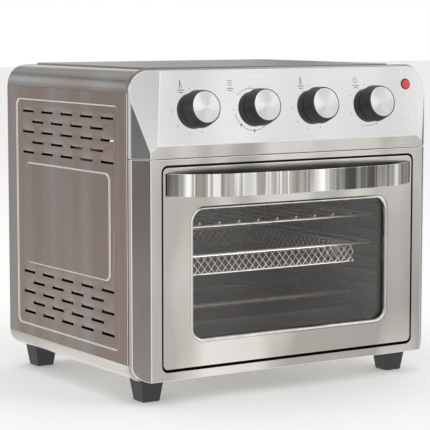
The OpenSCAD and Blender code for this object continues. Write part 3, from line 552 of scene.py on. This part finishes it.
class OVEN_OT_stage(bpy.types.Operator):
    """Sets the floor, the studio light and the camera"""
    bl_idname = "oven.stage"
    bl_label = "Stage"

    def execute(self, context):
        scene = context.scene
        shape = bmesh.new()
        bmesh.ops.create_grid(shape, x_segments=1, y_segments=1, size=12)
        mesh = bpy.data.meshes.new("floor")
        shape.to_mesh(mesh)
        shape.free()
        floor = bpy.data.objects.new("floor", mesh)
        scene.collection.objects.link(floor)
        floor.data.materials.append(painted_floor("matt_white_floor", linear("#fbfbfb")))
        floor.visible_glossy = False

        self.world(scene)
        self.soft_box("key", (2.2, -2.6, 2.6), (2.0, 1.4), power=18)
        self.soft_box("top", (-0.3, 0.3, 2.9), (2.4, 2.4), power=14)
        self.cavity_light()

        self.camera(scene)
        return {"FINISHED"}

    def camera(self, scene):
        """A long lens at the front left, a little above the panel; places are metres and turns degrees."""
        lens = bpy.data.cameras.new("camera")
        lens.lens = 151.8
        lens.sensor_width = 36
        lens.clip_end = 50
        camera = bpy.data.objects.new("camera", lens)
        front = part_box("front_frame")[0].y
        camera.location = (-1.1657, front - 1.6397, 0.4165)
        camera.rotation_euler = (math.radians(90 - 6.217), 0, math.radians(-32.941))
        scene.collection.objects.link(camera)
        scene.camera = camera
        scene.view_settings.view_transform = "Standard"

    def world(self, scene):
        """The studio that the steel mirrors: walls of uneven tone round the horizon, banded above.

        The tone round the horizon follows the compass: 0 is straight ahead of the door, and it grows
        towards the oven's left side. A dark flag stands to the front left."""
        world = bpy.data.worlds.new("studio")
        scene.world = world
        world.use_nodes = True
        tree = world.node_tree
        tree.nodes.clear()
        place = add(tree, "ShaderNodeTexCoord")
        parts = add(tree, "ShaderNodeSeparateXYZ", {"Vector": place.outputs["Generated"]})
        ahead = add(tree, "ShaderNodeMath", {0: parts.outputs["Y"], 1: -1.0}, operation="MULTIPLY")
        leftward = add(tree, "ShaderNodeMath", {0: parts.outputs["X"], 1: -1.0}, operation="MULTIPLY")
        compass = add(tree, "ShaderNodeMath", {0: leftward.outputs["Value"], 1: ahead.outputs["Value"]},
                      operation="ARCTAN2")
        turn = add(tree, "ShaderNodeMapRange", {"Value": compass.outputs["Value"], "From Min": -math.pi,
                                                "From Max": math.pi})
        walls = ramp(tree, turn.outputs["Result"], [((180 + angle) / 360, grey(level)) for angle, level in (
            (-180, 0.45), (-150, 0.40), (-125, 0.30), (-95, 0.35), (-84, 0.80), (-70, 0.45), (-48, 0.24),
            (-42, 0.26), (-39, 0.40), (-37.6, 1.25), (-35.6, 0.55), (-33, 1.35), (-30.5, 0.90), (-26, 0.80),
            (-14, 1.00), (4, 0.80), (22, 1.10), (40, 1.00), (52, 0.14), (62, 0.10), (72, 0.50), (84, 1.20),
            (118, 1.45), (134, 0.75), (148, 0.66), (150.6, 0.86), (152, 0.66), (153.4, 0.86), (158, 0.52),
            (170, 0.75), (180, 0.45))])
        fine = add(tree, "ShaderNodeTexNoise", {"W": compass.outputs["Value"], "Scale": 7.0, "Detail": 2.0},
                   noise_dimensions="1D")
        streaks = ramp(tree, fine.outputs["Fac"], [(0.36, grey(0.42)), (0.46, grey(0.85)), (0.52, grey(1.0)),
                                                   (0.66, grey(1.25))])
        horizon = add(tree, "ShaderNodeMix", {"Factor": 0.8}, data_type="RGBA", blend_type="MULTIPLY")
        tree.links.new(walls, horizon.inputs[6])
        tree.links.new(streaks, horizon.inputs[7])
        height = add(tree, "ShaderNodeMapRange", {"Value": parts.outputs["Z"], "From Min": -1.0})
        bands = ramp(tree, height.outputs["Result"], [((1 + z) / 2, grey(level)) for z, level in (
            (-1.0, 0.95), (-0.2, 0.95), (0.08, 1.0), (0.26, 1.06), (0.34, 0.95), (0.42, 0.42), (0.50, 0.95),
            (0.62, 0.40), (0.76, 0.90), (0.88, 0.55), (1.0, 0.80))])
        near = ramp(tree, height.outputs["Result"], [((1 + z) / 2, grey(level)) for z, level in (
            (-0.34, 0.0), (-0.13, 0.75), (-0.07, 1.0), (0.06, 1.0), (0.2, 0.0))])
        tones = add(tree, "ShaderNodeMix", {"Factor": near}, data_type="RGBA")
        tree.links.new(bands, tones.inputs[6])
        tree.links.new(horizon.outputs[2], tones.inputs[7])
        seen = add(tree, "ShaderNodeLightPath")
        light = add(tree, "ShaderNodeBackground", {"Color": tones.outputs[2], "Strength": 1.0})
        backdrop = add(tree, "ShaderNodeBackground", {"Color": grey(1.0), "Strength": 1.0})
        pick = add(tree, "ShaderNodeMixShader", {"Fac": seen.outputs["Is Camera Ray"],
                                                 1: light.outputs["Background"],
                                                 2: backdrop.outputs["Background"]})
        output = add(tree, "ShaderNodeOutputWorld")
        tree.links.new(pick.outputs["Shader"], output.inputs["Surface"])

    def cavity_light(self):
        """A small strip inside the door, below the shelves, which picks out their fronts."""
        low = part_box("fry_basket")[0]
        place = (0, low.y - 16 * MM, low.z - 38 * MM)
        holder = self.area_light("shelf_strip", place, (math.radians(122), 0, 0), (0.29, 0.012), 0.23)
        holder.visible_camera = False
        holder.visible_transmission = False

    def soft_box(self, name, place, size, power):
        """A large light that looks at the middle of the oven."""
        aim = Vector((0, 0, 0.18)) - Vector(place)
        self.area_light(name, place, aim.to_track_quat("-Z", "Y").to_euler(), size, power)

    def area_light(self, name, place, turn, size, power):
        light = bpy.data.lights.new(name, "AREA")
        light.shape = "RECTANGLE"
        light.size, light.size_y = size
        light.energy = power
        holder = bpy.data.objects.new(name, light)
        holder.location = place
        holder.rotation_euler = turn
        bpy.context.scene.collection.objects.link(holder)
        return holder


# --- Case and front -------------------------------------------------------------------------------


class OVEN_OT_case(bpy.types.Operator):
    """Rounds the folded edges of the case and gives it brushed steel"""
    bl_idname = "oven.case"
    bl_label = "Case"

    def execute(self, context):
        edge = sizes().sheet_edge
        steel = side_steel()
        softened("top_cover", "top_cover_sheet", top_steel(), "casing", edge)
        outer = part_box("top_cover")[1].x
        for side in ("left", "right"):
            panel = softened(f"side_panel_{side}", f"side_panel_{side}_sheet", steel, "casing",
                             sizes().press_radius, chosen=lambda line, centre: self.pressed(line, outer),
                             bright=edge_highlight())
            self.shear(panel)
        softened("base_pan", "base_pan_sheet", base_steel(), "casing", edge)
        rear = finish("zinc_coated_back", sheet_metal, linear("#a9a7a3"), rough=0.4, depth=0.06)
        softened("back_cover", "back_cover_sheet", rear, "casing", 0.4 * edge)
        return {"FINISHED"}

    def pressed(self, edge, outer):
        """True for the edges of a step that is pressed into the side panel, inside the case's outer face."""
        if len(edge.link_faces) != 2 or edge.calc_face_angle(0) < math.radians(40):
            return False
        if abs(edge.verts[0].co.x - edge.verts[1].co.x) > 1e-5 or abs(edge.verts[0].co.x) < outer - 3.2 * MM:
            return False
        wall = min(edge.link_faces, key=lambda face: abs(face.normal.x))
        reach = [abs(corner.co.x) for corner in wall.verts]
        deep = STEP_HEIGHTS[0] < max(reach) - min(reach) < STEP_HEIGHTS[1]
        return abs(wall.normal.x) < 0.1 and deep and min(reach) > outer - STEP_REACH

    def shear(self, panel):
        """Gives bright metal to the small forward faces where the louvres are sheared through, as painted
        highlights.
        """
        # Painted highlight: these faces stand for the bright specks at the louvre ends.
        highlight_steel = finish("sheared_steel_edge", sheet_metal, linear("#f4f4f2"), rough=0.6, depth=0.05)
        panel.data.materials.append(highlight_steel)
        inside = abs(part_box("side_panel_left")[0].x) - 3 * MM
        for face in panel.data.polygons:
            reach = [abs(panel.data.vertices[v].co.x) for v in face.vertices]
            if face.normal.y < -0.9 and face.area < 20 * MM * MM and min(reach) < inside:
                face.material_index = len(panel.data.materials) - 1


class OVEN_OT_front(bpy.types.Operator):
    """Rounds the folded edges of the frame and the control panel"""
    bl_idname = "oven.front"
    bl_label = "Frame and panel"

    def execute(self, context):
        edge = sizes().sheet_edge
        softened("front_frame", "front_frame_sheet", front_steel(), "casing", edge,
                 bright=edge_highlight())
        softened("control_panel", "control_panel_sheet", panel_steel(), "casing", edge,
                 chosen=creased, bright=edge_highlight(), smooth=9)
        self.lip(bpy.data.objects["control_panel_sheet"])
        return {"FINISHED"}

    def lip(self, panel):
        """The upright lip of the panel takes the brushed steel of the frame below it, whose other tones are painted
        light and shade for a face that looks straight ahead.
        """
        panel.data.materials.append(front_steel())
        for face in panel.data.polygons:
            if face.normal.y < -0.995:
                face.material_index = len(panel.data.materials) - 1


class OVEN_OT_feet(bpy.types.Operator):
    """Rounds the moulded feet, wall spacers and gland"""
    bl_idname = "oven.feet"
    bl_label = "Feet and mouldings"

    def execute(self, context):
        plastic = black_moulding()
        for node in ("foot_front_left", "foot_front_right", "foot_rear_left", "foot_rear_right", "wall_spacers",
                     "cord_gland"):
            softened(node, f"{node}_moulding", plastic, "casing", 0.9 * MM)
        return {"FINISHED"}


# --- Door -----------------------------------------------------------------------------------------


class OVEN_OT_door(bpy.types.Operator):
    """Finishes the door skin, its inner frame, the window and the seal"""
    bl_idname = "oven.door"
    bl_label = "Door"

    def execute(self, context):
        softened("door_skin", "door_skin_sheet", front_steel(), "door", sizes().sheet_edge)
        paint(["door_inner_frame"], dark_enamel())
        paint(["door_glass"], finish("smoked_tempered_glass", smoked_glass, colours().glass[:]))
        rubber = finish("black_silicone", moulded_plastic, linear("#1b1b1b"), rough=0.62, grain_mm=1.2)
        paint(["glass_gasket"], rubber)
        self.bead()
        return {"FINISHED"}

    def bead(self):
        """The polished bead that is rolled round the window."""
        low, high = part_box("glass_gasket")
        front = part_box("door_skin")[0].y
        radius = sizes().rim_bead
        lap = SEAL_LAP + BEAD_INSET
        corner = WINDOW_CORNER - BEAD_INSET
        points = rounded_loop(high.x - lap, low.z + lap, high.z - lap, front + radius - 0.5 * MM, corner, 18)
        shape = tube_along(points, radius, "window_bead", cyclic=True, sides=16)
        bright = finish("polished_steel_trim", polished_steel)
        piece("window_bead", shape, bright, "door")


class OVEN_OT_handle(bpy.types.Operator):
    """Polishes the bowed handle plate and finishes its black core"""
    bl_idname = "oven.handle"
    bl_label = "Handle"

    def execute(self, context):
        mirror = finish("mirror_polished_handle", polished_steel, streaks=True)
        softened("handle_plate", "handle_strip", mirror, "door", 0.35 * MM)
        softened("handle_core", "handle_grip", black_moulding(), "door", 0.8 * MM)
        return {"FINISHED"}


# --- Dials ----------------------------------------------------------------------------------------


class OVEN_OT_dials(bpy.types.Operator):
    """Makes the dials: a moulded grip with fine ribs, a spun cap and a pointer"""
    bl_idname = "oven.dials"
    bl_label = "Dials"

    def execute(self, context):
        plastic = finish("satin_black_abs", moulded_plastic, colours().dial_black[:], rough=0.38, grain_mm=0.5)
        white = finish("white_pointer_ink", printed_ink, linear("#e6e6e6"))
        for which in DIALS:
            matrix = dial_frame(which)
            body = f"{which}_control"
            grip = piece(f"{which}_grip", self.grip(matrix), plastic, body, 40)
            self.groove(grip, matrix)
            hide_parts(f"{which}_dial")
            centre = middle(f"{which}_dial_cap")
            out = matrix.to_3x3() @ Vector((0, 0, 1))
            metal = finish(f"spun_aluminium_{which}", spun_aluminium, colours().cap_metal[:], centre, out)
            cap = piece(f"{which}_cap", self.cap(matrix), metal, body, 40)
            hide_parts(f"{which}_dial_cap")
            # A choice of look: the panel shows no image and no shadow of the grip and cap.
            for part in (grip, cap):
                part.visible_glossy = False
                part.visible_shadow = False
            piece(f"{which}_pointer", self.pointer(matrix), white, body)
        return {"FINISHED"}

    def grip(self, matrix):
        """Skirt, a thin dark groove, and a tapering grip with a rolled edge."""
        profile = [(0, 6), (5.8, 6), (5.8, 1.2), (18.9, 1.2), (19.4, 1.7), (19.5, 12.5), (19.3, 13.0), (17.9, 13.1),
                   (17.9, 15.4), (20.3, 15.6), (20.8, 16.2), (20.7, 17.4), (18.4, 29.0), (17.9, 30.1), (17.4, 30.6),
                   (16.9, 30.6), (16.9, 29.4), (0, 29.4)]
        shape = spun([(r * MM, z * MM) for r, z in profile], Matrix(), 144)
        ribs = sizes().grip_ribs
        for vert in shape.verts:
            radius = math.hypot(vert.co.x, vert.co.y)
            if radius > 18.2 * MM and 16.1 * MM < vert.co.z < 29.5 * MM:
                wave = 0.5 + 0.5 * math.cos(ribs * math.atan2(vert.co.y, vert.co.x))
                vert.co.xy *= 1 - 0.3 * MM * wave / radius
        bmesh.ops.transform(shape, matrix=matrix, verts=shape.verts)
        return shape

    def groove(self, grip, matrix):
        """The groove between skirt and grip is painted near black, as painted shade in the recess."""
        black = finish("matt_black_groove", moulded_plastic, linear("#050505"), rough=0.9, grain_mm=0.5)
        grip.data.materials.append(black)
        back = matrix.inverted()
        for face in grip.data.polygons:
            if GROOVE[0] < (back @ face.center).z < GROOVE[1]:
                face.material_index = 1

    def cap(self, matrix):
        profile = [(0, 29.45), (16.8, 29.45), (16.8, 30.2), (16.5, 30.55), (16.0, 30.6), (0, 30.6)]
        return spun([(r * MM, z * MM) for r, z in profile], matrix)

    def pointer(self, matrix):
        """A short raised line on the skirt that points straight up at rest."""
        shape = bmesh.new()
        bmesh.ops.create_cube(shape, size=1)
        bmesh.ops.scale(shape, vec=(1.3 * MM, 0.5 * MM, 7 * MM), verts=shape.verts)
        bmesh.ops.bevel(shape, geom=shape.edges[:], offset=0.15 * MM, segments=2, profile=0.5, affect="EDGES",
                        material=-1)
        bmesh.ops.translate(shape, vec=(0, 19.45 * MM, 8 * MM), verts=shape.verts)
        bmesh.ops.transform(shape, matrix=matrix, verts=shape.verts)
        return shape


# --- Print and lamp -------------------------------------------------------------------------------


def around(radius, degrees):
    """A point on a circle, from its angle."""
    turn = math.radians(degrees)
    return radius * math.cos(turn), radius * math.sin(turn)


class OVEN_OT_print(bpy.types.Operator):
    """Prints plain scales and symbols round the dials"""
    bl_idname = "oven.print"
    bl_label = "Panel print"
    lift = 0.05 * MM

    def execute(self, context):
        ink = finish("grey_panel_ink", printed_ink, colours().print_ink[:])
        for which in DIALS:
            matrix = dial_frame(which)
            shape = joined([self.scale(which)] + self.symbol(which))
            bmesh.ops.transform(shape, matrix=matrix, verts=shape.verts)
            piece(f"{which}_scale_print", shape, ink, "casing")
        return {"FINISHED"}

    def bar(self, x, y, wide, tall, turn=0.0):
        """A thin printed bar, centred on x and y in millimetres on the panel face."""
        shape = bmesh.new()
        bmesh.ops.create_cube(shape, size=1)
        bmesh.ops.scale(shape, vec=(wide * MM, tall * MM, 2 * self.lift), verts=shape.verts)
        bmesh.ops.rotate(shape, cent=(0, 0, 0), matrix=Matrix.Rotation(math.radians(turn), 3, "Z"),
                         verts=shape.verts)
        bmesh.ops.translate(shape, vec=(x * MM, y * MM, 0), verts=shape.verts)
        return shape

    def arc(self, radius, start, end, wide, x=0.0, y=0.0):
        """A thin printed arc, from start to end in degrees."""
        shape = bmesh.new()
        inner, outer = radius - wide / 2, radius + wide / 2
        section = ((inner, -self.lift), (outer, -self.lift), (outer, self.lift), (inner, self.lift))
        face = shape.faces.new([shape.verts.new((r * MM, 0, z)) for r, z in section])
        steps = max(4, int(abs(end - start) / 4))
        bmesh.ops.rotate(shape, cent=(0, 0, 0), matrix=Matrix.Rotation(math.radians(start), 3, "Z"),
                         verts=shape.verts)
        bmesh.ops.spin(shape, geom=[face], cent=(0, 0, 0), axis=(0, 0, 1), angle=math.radians(end - start),
                       steps=steps, use_duplicate=False)
        bmesh.ops.recalc_face_normals(shape, faces=shape.faces)
        bmesh.ops.translate(shape, vec=(x * MM, y * MM, 0), verts=shape.verts)
        return shape

    def scale(self, which):
        """Short ticks from straight up round the dial's sweep; two dials have an arc as well."""
        line = sizes().print_line / MM
        shapes = []
        count = {"fry": 8, "function": 8, "oven": 8, "timer": 7}[which]
        sweep = {"fry": 270, "function": 315, "oven": 270, "timer": 300}[which]
        for i in range(count):
            turn = 90 - sweep * i / (count - 1)
            shapes.append(self.bar(*around(TICK_RADIUS, turn), 2.4, line, turn))
        if which == "function":
            shapes.append(self.arc(RING_RADIUS, -170, 130, line))
            for turn in (-135, -90, -45, 0):
                shapes.append(self.bar(*around(RING_RADIUS, turn), 2.2, 2.2, turn))
        if which == "timer":
            shapes.append(self.arc(TIMER_ARC_RADIUS, -100, -30, line))
        return joined(shapes)

    def symbol(self, which):
        """A plain symbol up and to the left of the dial, over two short dashes."""
        x, y = {"fry": (-11, 29.5), "function": (-26, 30), "oven": (-10, 30.5), "timer": (-12, 29.5)}[which]
        line = 1.2 * sizes().print_line / MM
        if which in ("fry", "oven"):
            mark = [self.arc(1.5, 0, 359, line, x, y - 2.5), self.bar(x, y + 1.6, 1.6, 5.2)]
        elif which == "function":
            mark = [self.bar(x, y, 6, line), self.bar(x, y + 2.4, 6, line), self.bar(x, y - 2.4, 6, line)]
        else:
            mark = [self.arc(3.0, 60, 390, line, x, y), self.bar(x, y + 0.8, line, 2.4)]
        dashes = [self.bar(x, y - 6.2, 8.5, 0.9), self.bar(x, y - 8.6, 5.5, 0.9)]
        return mark + dashes


class OVEN_OT_lamp(bpy.types.Operator):
    """Finishes the red indicator lens and its dark ring"""
    bl_idname = "oven.lamp"
    bl_label = "Indicator"

    def execute(self, context):
        red = finish("red_acrylic_lens", signal_lens, colours().lens[:])
        softened("indicator_lens", "indicator_dome", red, "casing", 0.3 * MM)
        panel = dial_frame("timer")
        centre = middle("indicator_lens")
        matrix = Matrix.Translation(centre) @ panel.to_3x3().to_4x4()
        low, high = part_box("indicator_lens")
        radius = (high.x - low.x) / 2
        depth = (panel.inverted() @ centre).z
        profile = [(radius - 0.2 * MM, -0.5 * MM), (radius + 1.0 * MM, -0.5 * MM), (radius + 1.0 * MM, 0.5 * MM),
                   (radius + 0.7 * MM, 0.9 * MM), (radius + 0.1 * MM, 0.9 * MM), (radius - 0.2 * MM, 0.6 * MM),
                   (radius - 0.2 * MM, -0.5 * MM)]
        shape = spun(profile, matrix @ Matrix.Translation((0, 0, -depth)), 64)
        piece("indicator_ring", shape, black_moulding(), "casing")
        return {"FINISHED"}


# --- Inside ---------------------------------------------------------------------------------------


class OVEN_OT_basket(bpy.types.Operator):
    """Builds the frying basket: diamond mesh on a wire frame"""
    bl_idname = "oven.basket"
    bl_label = "Frying basket"

    def execute(self, context):
        low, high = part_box("fry_basket")
        pitch = sizes().mesh_pitch
        wire = BASKET_WIRE
        x = BASKET_HALF
        y0 = low.y + wire
        y1 = high.y - wire
        top = high.z - wire
        bottom = low.z + 0.4 * MM
        bright = plated_wire()
        mesh = self.tub(x - 1.0 * MM, y0 + 1 * MM, y1 - 1 * MM, bottom, top, pitch)
        tub = piece("basket_mesh", mesh, bright, "basket")
        # Painted shade: the floor of the mesh takes a dark tone, for the shade at the bottom of the basket.
        floor = finish("used_mesh_floor", sheet_metal, linear("#4a4744"), rough=0.5, depth=0.3)
        tub.data.materials.append(floor)
        for face in tub.data.polygons:
            if abs(face.normal.z) > 0.9:
                face.material_index = 1
        net = tub.modifiers.new("Wire mesh", "WIREFRAME")
        net.thickness = sizes().mesh_wire
        net.use_even_offset = False
        net.use_replace = True
        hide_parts("fry_basket")
        loop = rounded_ring(high.x - wire, y0, y1, top, 8 * MM)
        bars = [tube_along(loop, wire, "basket_rim", cyclic=True, sides=12)]
        for side in (-1, 1):
            bars.append(tube_along([(side * x, y0, top), (side * x, y1, top)], 1.4 * MM, "basket_bar",
                                   sides=12))
        for y in (y0 + 2 * MM, y1 - 2 * MM):
            bars.append(tube_along([(-x + 8 * MM, y, bottom), (x - 8 * MM, y, bottom)], 0.9 * MM,
                                   "basket_foot"))
        piece("basket_frame", joined(bars), bright, "basket", 60)
        return {"FINISHED"}

    def tub(self, x, y0, y1, z0, z1, pitch):
        """Floor and four walls of diamonds: a grid whose cells are poked and whose square edges go."""
        shape = bmesh.new()
        nx = max(4, round(2 * x / pitch))
        ny = max(4, round((y1 - y0) / pitch))
        nz = max(2, round((z1 - z0) / pitch))
        bmesh.ops.create_cube(shape, size=1)
        lid = [f for f in shape.faces if f.normal.z > 0.9]
        bmesh.ops.delete(shape, geom=lid, context="FACES_ONLY")
        bmesh.ops.scale(shape, vec=(2 * x, y1 - y0, z1 - z0), verts=shape.verts)
        bmesh.ops.translate(shape, vec=(0, (y0 + y1) / 2, (z0 + z1) / 2), verts=shape.verts)
        for axis, count in ((0, nx), (1, ny), (2, nz)):
            low = min(v.co[axis] for v in shape.verts)
            span = max(v.co[axis] for v in shape.verts) - low
            normal = Vector([1.0 if i == axis else 0.0 for i in range(3)])
            for i in range(1, count):
                bmesh.ops.bisect_plane(shape, geom=shape.verts[:] + shape.edges[:] + shape.faces[:],
                                       plane_co=normal * (low + span * i / count), plane_no=normal)
        square = list(shape.edges)
        bmesh.ops.poke(shape, faces=shape.faces[:])
        inner = [e for e in square if e.is_valid and len(e.link_faces) == 2]
        bmesh.ops.dissolve_edges(shape, edges=inner, use_verts=False, use_face_split=False)
        return shape


def rounded_ring(x, y0, y1, z, radius, steps=8):
    """Points round a rectangle with rounded corners, lying flat."""
    loop = rounded_loop(x, y0, y1, z, radius, steps)
    return [(px, py, pz) for px, pz, py in loop]


class OVEN_OT_inside(bpy.types.Operator):
    """Gives every other piece the finish of its own material"""
    bl_idname = "oven.inside"
    bl_label = "Cavity and works"

    def execute(self, context):
        paint(["cavity_flange", "cavity_wall_left", "cavity_wall_right", "cavity_floor", "cavity_ceiling",
               "cavity_back", "fan_guard"], dark_enamel())
        paint(["case_screws", "switch_bracket", "fan_motor", "heat_shield", "hinge_brackets", "door_springs",
               "hinge_pins", "door_stays", "fan_wheel"] + [f"{d}_spindle" for d in DIALS], zinc())
        paint(["wire_rack"], plated_wire())
        tray = finish("dark_tray_steel", sheet_metal, linear("#6a6663"), rough=0.3, depth=0.2)
        paint(["crumb_tray"], tray)
        sheath = finish("oxidised_heater_sheath", sheet_metal, linear("#4c4743"), rough=0.5, metallic=0.7,
                        depth=0.4)
        paint(["upper_heaters", "lower_heaters"], sheath)
        paint(["heater_insulators"], finish("glazed_ceramic", moulded_plastic, linear("#ece7da"), rough=0.25))
        cream = finish("cream_phenolic", moulded_plastic, linear("#d9cfae"), rough=0.4)
        paint(["fry_thermostat", "oven_thermostat", "timer"], cream)
        paint(["function_switch", "indicator_lamp"], black_moulding())
        paint(["wiring_loom"], finish("glass_fibre_sleeve", woven_sleeve, linear("#d6cdb8")))
        return {"FINISHED"}


class OVEN_PT_finish(bpy.types.Panel):
    """Lists the operators that build the oven's finish"""
    bl_idname = "OVEN_PT_finish"
    bl_label = "Toaster Oven"
    bl_space_type = "VIEW_3D"
    bl_region_type = "UI"
    bl_category = "Toaster Oven"

    def draw(self, context):
        for operator in OPERATORS:
            self.layout.operator(operator.bl_idname)
        for group in (context.scene.oven_sizes, context.scene.oven_colours):
            for name in group.__annotations__:
                self.layout.prop(group, name)


OPERATORS = (OVEN_OT_stage, OVEN_OT_case, OVEN_OT_front, OVEN_OT_feet, OVEN_OT_door, OVEN_OT_handle,
             OVEN_OT_dials,
             OVEN_OT_print, OVEN_OT_lamp, OVEN_OT_basket, OVEN_OT_inside)
CLASSES = (OvenColours, OvenSizes) + OPERATORS + (OVEN_PT_finish,)


def register():
    for part in CLASSES:
        bpy.utils.register_class(part)
    bpy.types.Scene.oven_colours = PointerProperty(type=OvenColours)
    bpy.types.Scene.oven_sizes = PointerProperty(type=OvenSizes)


def unregister():
    del bpy.types.Scene.oven_sizes
    del bpy.types.Scene.oven_colours
    for part in reversed(CLASSES):
        bpy.utils.unregister_class(part)


def main():
    register()
    bpy.ops.oven.stage()
    bpy.ops.oven.case()
    bpy.ops.oven.front()
    bpy.ops.oven.feet()
    bpy.ops.oven.door()
    bpy.ops.oven.handle()
    bpy.ops.oven.dials()
    bpy.ops.oven.print()
    bpy.ops.oven.lamp()
    bpy.ops.oven.basket()
    bpy.ops.oven.inside()


if __name__ == "__main__":
    main()
